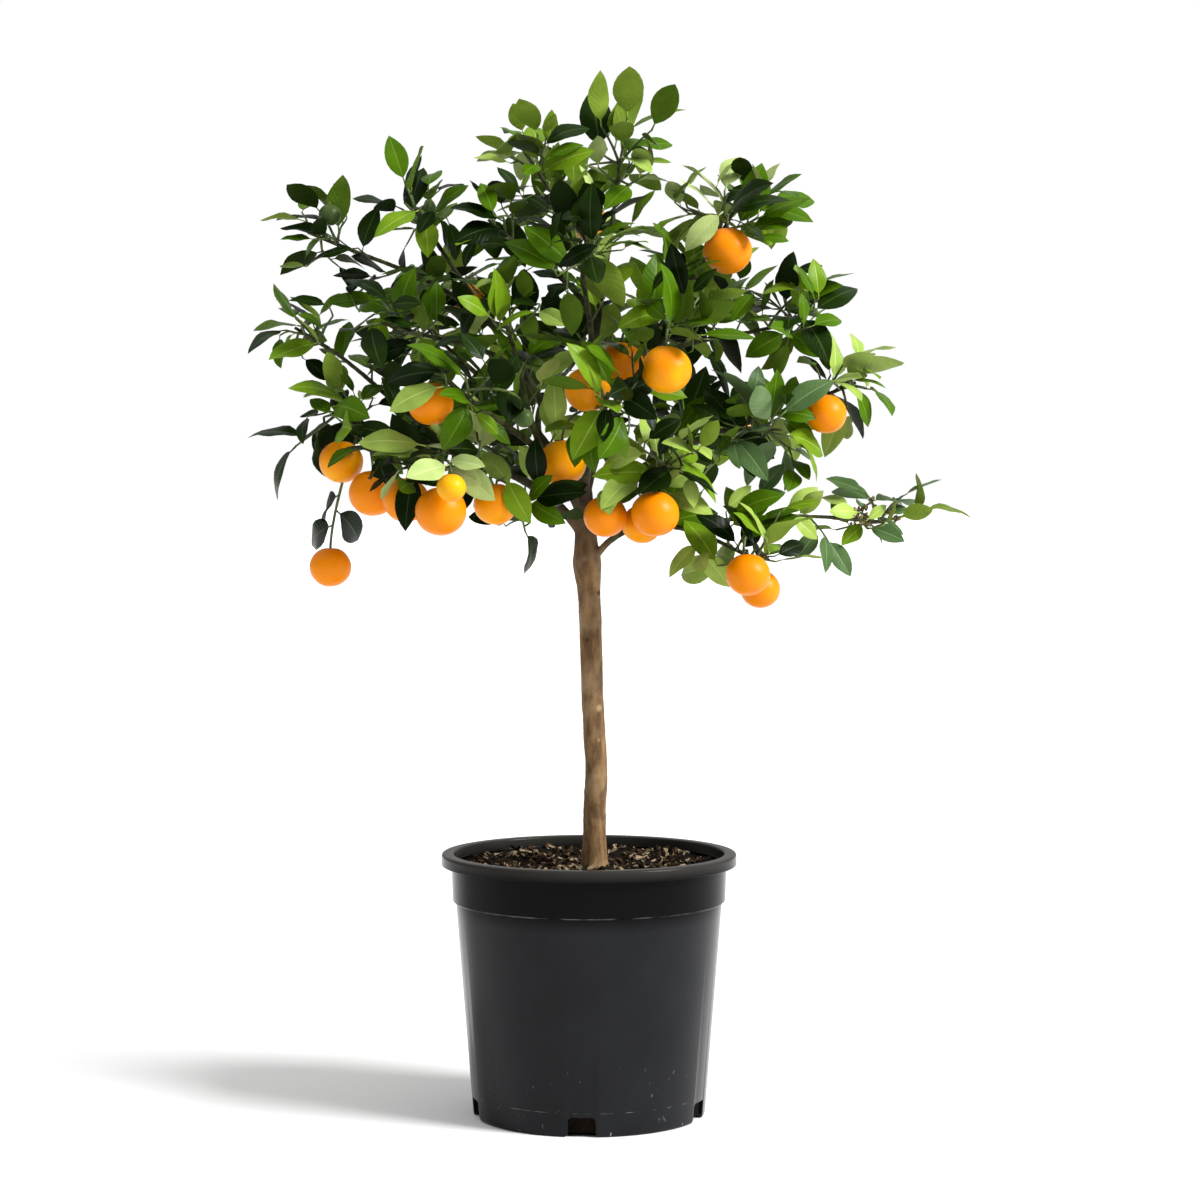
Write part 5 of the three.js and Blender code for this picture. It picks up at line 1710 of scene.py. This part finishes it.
def leaf_shape(k, settings):
    """One leaf of length one along +Y, facing +Z: a blade with a channel at its midrib, its
    underside, and a short stalk. Its materials are blade, underside and midrib."""
    roll = dice(k, 41)
    fold, curl = draw(roll, LEAF_FOLD), draw(roll, LEAF_CURL)
    bend, twist = draw(roll, LEAF_BEND), swing(roll, LEAF_TWIST)
    sickle, wave = swing(roll, LEAF_SICKLE), draw(roll, LEAF_WAVE)
    narrow = draw(roll, LEAF_NARROW)
    foot = settings.stalk

    def carry(side, t, drop):
        half = settings.width / 2 * narrow * math.sin(math.pi * t**BLADE_ROOT) ** BLADE_FULL
        x = side * half
        z = half * (fold * abs(side) - curl * side * side * 0.5)
        z += half * wave * side * side * math.sin(t * 9 + k) - drop * math.sin(math.pi * t) ** 0.5
        turned = math.cos(twist * t), math.sin(twist * t)
        x, z = x * turned[0] - z * turned[1], x * turned[1] + z * turned[0]
        y = math.sin(bend * t) / bend
        z -= (1 - math.cos(bend * t)) / bend
        return Vector((x + sickle * t * t * 0.5, foot + y * (1 - foot), z))

    bm = bmesh.new()
    bm.loops.layers.uv.new("UVMap")
    # blade and underside: faces across, and what share of the half width each column stands at
    columns = {5: {0.5: 1, 0.3: 0.55, 0.1: 0.05}, 2: {0.5: 1, 0.0: 0}}
    for count, sides in columns.items():
        made = bmesh.ops.create_grid(bm, x_segments=count, y_segments=LEAF_ROWS, size=0.5,
                                     calc_uvs=True)
        faces = {face for vert in made["verts"] for face in vert.link_faces}
        for face in faces:
            face.material_index = 1 if count == 2 else 0
            if count == 5 and abs(face.calc_center_median().x) < 0.05:
                face.material_index = 2
        if count == 2:
            bmesh.ops.reverse_faces(bm, faces=list(faces))
        for vert in made["verts"]:
            x = round(abs(vert.co.x), 1)
            side = math.copysign(sides[x], vert.co.x)
            deep = KEEL if count == 2 and x == 0 else CHANNEL if x == 0.1 else 0
            vert.co = carry(side, vert.co.y + 0.5, settings.thickness * deep)
    bmesh.ops.remove_doubles(bm, verts=bm.verts, dist=1e-5)
    depth = foot + STALK_LAP
    lay = Matrix.Rotation(-math.pi / 2, 4, "X")
    stalk = bmesh.ops.create_cone(
        bm, cap_ends=True, segments=4, radius1=STALK_RADII[0], radius2=STALK_RADII[1],
        depth=depth, matrix=Matrix.Translation((0, depth / 2, -STALK_UNDER)) @ lay,
    )
    for face in {face for vert in stalk["verts"] for face in vert.link_faces}:
        face.material_index = 2
    return Shape(bm)


class CITRUS_OT_leaves(bpy.types.Operator):
    """Add all the leaves, tinted by spray"""

    bl_idname = "citrus.leaves"
    bl_label = "Add Leaves"

    def execute(self, context):
        """Copies a few kinds of leaf to every place that the rule gives."""
        settings = context.scene.citrus_leaves
        kinds = [leaf_shape(k, settings) for k in range(LEAF_KINDS)]
        copies = []
        for n, leaf in enumerate(crown()[2]):
            roll = dice(n, 61)
            shape = kinds[int(roll() * LEAF_KINDS)]
            choice = SPRAYS[MASSES[leaf.mass]["spray"]]
            spray = dice(MASSES[leaf.mass]["seed"], leaf.spray, 71)
            tint = choice[int(spray() * len(choice))]
            root = leaf.shoot.place(leaf.share) if leaf.shoot.kind != "stalk" else leaf.root
            outwards = unit((leaf.root - LIGHT_HEART) * LIGHT_WAY)
            lit = leaf.face + outwards * LIGHT_TURN * draw(roll, LIGHT_SHARES)
            face = square_to(leaf.heading, lit)
            axes = np.array([np.cross(leaf.heading, face), leaf.heading, face])
            length = leaf.length * MASSES[leaf.mass].get("leaf", 1)
            copies.append((shape, shape.points * length @ axes + root, tint * 3))
        materials = []
        # each tint is a lit or shaded copy of the same leaf skin: painted light and shade
        for name, blade, under, rib in TINTS:
            materials += [
                leaf_skin(f"leaf_{name}", blade, *BLADE_FINISH),
                leaf_skin(f"leaf_{name}_underside", under, *UNDERSIDE_FINISH),
                plain_rib(f"leaf_{name}_midrib", rib),
            ]
        nodes = [name for name in NODES if name.startswith("foliage_")]
        add_piece("leaves", joined("leaves", copies), materials, nodes)
        return {"FINISHED"}


# ---------- fruit ----------

FRUIT_KINDS = 5
UNRIPE_WIDTH = 18  # a fruit under this width is green,
TURNING_WIDTH = 22  # and one under this is turning
DIMPLE = (0.045, 0.1)  # depth and spread of the dimple at its stalk, as shares of its width,
END_SCAR = (0.018, 0.05)  # and of the small scar opposite
FRUIT_LUMPS = 0.02  # how far it is from even, as a share
FRUIT_LEAN = 0.3  # how far chance tips a kind of fruit over, in radians
STAR_RADIUS = 2.3
STAR_LOBES = 5
STAR_SINK = 0.035  # how deep its star sits, as a share of its width


def fruit_shape(k):
    """A calamondin one across: a flattened ball with a dimple at the stalk and a small scar
    opposite."""
    roll = dice(k, 51)
    bm = bmesh.new()
    bmesh.ops.create_uvsphere(bm, u_segments=32, v_segments=22, radius=0.5)
    for vert in bm.verts:
        across = math.hypot(vert.co.x, vert.co.y)
        depth, spread = DIMPLE if vert.co.z > 0 else END_SCAR
        dent = depth * math.exp(-((across / spread) ** 2))
        vert.co.z = vert.co.z * FRUIT_SQUASH + (-dent if vert.co.z > 0 else dent)
        vert.co *= 1 + FRUIT_LUMPS * noise.noise(vert.co * 3 + Vector((k, 0, 0)))
    bmesh.ops.rotate(bm, cent=(0, 0, 0), matrix=Matrix.Rotation(swing(roll, FRUIT_LEAN), 3, "X"),
                     verts=bm.verts)
    return Shape(bm)


def calyx_shape():
    """The green star that a fruit hangs by: five blunt lobes on a button."""
    bm = bmesh.new()
    bmesh.ops.create_cone(bm, cap_ends=True, segments=10, radius1=1, radius2=0.45, depth=0.4)
    for vert in bm.verts:
        angle = math.atan2(vert.co.y, vert.co.x)
        if vert.co.z < 0:
            lobe = 1 + 0.5 * math.cos(STAR_LOBES * angle)
            vert.co.x *= lobe
            vert.co.y *= lobe
            vert.co.z -= 0.12 * (lobe - 1)
    return Shape(bm)


class CITRUS_OT_fruit(bpy.types.Operator):
    """Add the fruit and the stars that they hang by"""

    bl_idname = "citrus.fruit"
    bl_label = "Add Fruit"

    def execute(self, context):
        """Copies a few kinds of fruit to the ends of the stalks."""
        settings = context.scene.citrus_fruit
        kinds = [fruit_shape(k) for k in range(FRUIT_KINDS)]
        star = calyx_shape()
        fruits, stars = [], []
        for n, stalk in enumerate(crown()[1]):
            x, y, z, width = stalk.fruit
            roll = dice(n, 81)
            turn = np.array(Matrix.Rotation(roll() * 7, 3, "Z"))
            shape = kinds[n % FRUIT_KINDS]
            small = 3 if width < UNRIPE_WIDTH else 2
            peel = small if width < TURNING_WIDTH else int(roll() * 2)
            fruits.append((shape, shape.points * width @ turn.T + vec(x, y, z), peel))
            top = vec(x, y, z + width / 2 * FRUIT_SQUASH - width * STAR_SINK)
            stars.append((star, star.points * STAR_RADIUS @ turn.T + top, 0))
        deep = (*settings.deep, 1)
        add_piece("fruit", joined("fruit", fruits), [
            citrus_peel("ripe_peel", settings.ripe, deep),
            citrus_peel("deep_ripe_peel", settings.deep, colour("e88300")),
            citrus_peel("turning_peel", settings.yellow, colour("ec980c")),
            citrus_peel("unripe_peel", settings.green, colour("4b5f2c")),
        ])
        add_piece("fruit_stars", joined("fruit_stars", stars), [green_twig()])
        return {"FINISHED"}


BUDS = 6  # flower buds in a bunch
BUD_WIDTH = 2.4
BUD_SPREAD = 2.6
BUD_SHARES = (0.35, 0.7)  # places of the bunches along a shoot


def bud_shape():
    """A flower bud one across, a little longer than wide."""
    bm = bmesh.new()
    bmesh.ops.create_uvsphere(bm, u_segments=8, v_segments=6, radius=0.5)
    bmesh.ops.scale(bm, vec=(1, 1, 1.5), verts=bm.verts)
    return Shape(bm)


class CITRUS_OT_buds(bpy.types.Operator):
    """Add bunches of flower buds to the shoots that bear them"""

    bl_idname = "citrus.buds"
    bl_label = "Add Flower Buds"

    def execute(self, context):
        """Sets a few buds round each place along the shoots."""
        bud = bud_shape()
        copies = []
        bearing = [twig for twig in crown()[0]
                   if twig.kind == "shoot" and MASSES[twig.mass].get("buds")]
        for n, shoot in enumerate(bearing):
            for share in BUD_SHARES:
                roll = dice(n, int(share * 100), 91)
                for _ in range(BUDS):
                    off = (vec(roll(), roll(), roll()) - 0.5) * 2 * BUD_SPREAD
                    turn = np.array(Matrix.Rotation(roll() * 3, 3, "X"))
                    points = bud.points * BUD_WIDTH @ turn.T + shoot.place(share) + off
                    copies.append((bud, points, int(roll() * 2)))
        add_piece("flower_buds", joined("flower_buds", copies), [
            bud_scale("bud_green", "9aa06a", "7a6a3c"),
            bud_scale("bud_brown", "6b4a26", "3f2a15"),
        ])
        return {"FINISHED"}


# ---------- stage ----------

FLOOR_HALF = 60  # metres from the middle of the floor to its edge
CAMERA_PLACE = (-0.00023, -2.214, 0.48071)  # metres
CAMERA_TILT = math.radians(2.2843)  # downwards
CAMERA_TURN = math.radians(0.2226)  # to the right


class CITRUS_OT_stage(bpy.types.Operator):
    """Add the floor, the lights and the camera"""

    bl_idname = "citrus.stage"
    bl_label = "Add Stage"

    @staticmethod
    def white_room(settings):
        """A plain white studio: it is seen as white, and lights the tree softly from above and
        from the sides, least from the front."""
        world = bpy.data.worlds.new("white_studio")
        world.use_nodes = True
        back = world.node_tree.nodes["Background"]
        way = add_node(world, "TexCoord").outputs["Generated"]
        axes = add_node(world, "SeparateXYZ", {0: way}).outputs
        level = {0: axes[1], 1: -1.0, 2: 0.2, 3: settings.front, 4: settings.side}
        level = add_node(world, "MapRange", level).outputs[0]
        high = add_node(world, "MapRange", {0: axes[2], 1: 0.1, 2: 0.9}).outputs[0]
        glow = add_node(world, "Mix", {0: high, 2: level, 3: settings.overhead}).outputs[0]
        seen = add_node(world, "LightPath").outputs["Is Camera Ray"]
        strength = add_node(world, "Mix", {0: seen, 2: glow, 3: 1.0}).outputs[0]
        plug(world, back.inputs["Strength"], strength)
        plug(world, back.inputs["Color"], (1, 1, 1, 1))
        return world

    def execute(self, context):
        """A very large pale floor under an even white sky, one soft key from the right."""
        settings = context.scene.citrus_stage
        bm = bmesh.new()
        bmesh.ops.create_grid(bm, x_segments=1, y_segments=1, size=FLOOR_HALF)
        floor = object_of("floor", mesh_of("floor", bm))
        floor.data.materials.append(studio_paper(settings.floor))
        light = bpy.data.lights.new("key", "SUN")
        light.energy = settings.key
        light.angle = settings.key_width
        lamp = object_of("key", light)
        lamp.rotation_euler = Vector(settings.key_from).to_track_quat("Z", "Y").to_euler()
        context.scene.world = self.white_room(settings)
        context.scene.view_settings.view_transform = "Standard"
        lens = bpy.data.cameras.new("view")
        lens.sensor_width = 36
        lens.lens = settings.lens
        camera = object_of("view", lens)
        camera.location = CAMERA_PLACE
        camera.rotation_euler = (math.pi / 2 - CAMERA_TILT, 0, -CAMERA_TURN)
        context.scene.camera = camera
        return {"FINISHED"}


# ---------- panel and registration ----------

STEPS = [
    (CITRUS_OT_stage, "citrus_stage", StageSettings),
    (CITRUS_OT_pot, "citrus_pot", PotSettings),
    (CITRUS_OT_soil, "citrus_soil", SoilSettings),
    (CITRUS_OT_wood, "citrus_wood", WoodSettings),
    (CITRUS_OT_twigs, None, None),
    (CITRUS_OT_leaves, "citrus_leaves", LeafSettings),
    (CITRUS_OT_fruit, "citrus_fruit", FruitSettings),
    (CITRUS_OT_buds, None, None),
]


class CITRUS_PT_tree(bpy.types.Panel):
    """Lists the tree's pieces and their settings"""

    bl_label = "Potted Calamondin"
    bl_idname = "CITRUS_PT_tree"
    bl_space_type = "VIEW_3D"
    bl_region_type = "UI"
    bl_category = "Citrus"

    def draw(self, context):
        """One button for each piece, with its settings under it."""
        for operator, name, group in STEPS:
            box = self.layout.box()
            box.operator(operator.bl_idname)
            if group:
                settings = getattr(context.scene, name)
                for field in group.__annotations__:
                    box.prop(settings, field)


def register():
    """Adds the settings, the operators and the panel."""
    for operator, name, group in STEPS:
        bpy.utils.register_class(operator)
        if group:
            bpy.utils.register_class(group)
            setattr(bpy.types.Scene, name, bpy.props.PointerProperty(type=group))
    bpy.utils.register_class(CITRUS_PT_tree)


def unregister():
    """Takes them out again."""
    bpy.utils.unregister_class(CITRUS_PT_tree)
    for operator, name, group in reversed(STEPS):
        if group:
            delattr(bpy.types.Scene, name)
            bpy.utils.unregister_class(group)
        bpy.utils.unregister_class(operator)


def main():
    """Makes every piece in order."""
    register()
    for operator, _, _ in STEPS:
        group, name = operator.bl_idname.split(".")
        getattr(getattr(bpy.ops, group), name)()


if __name__ == "__main__":
    main()
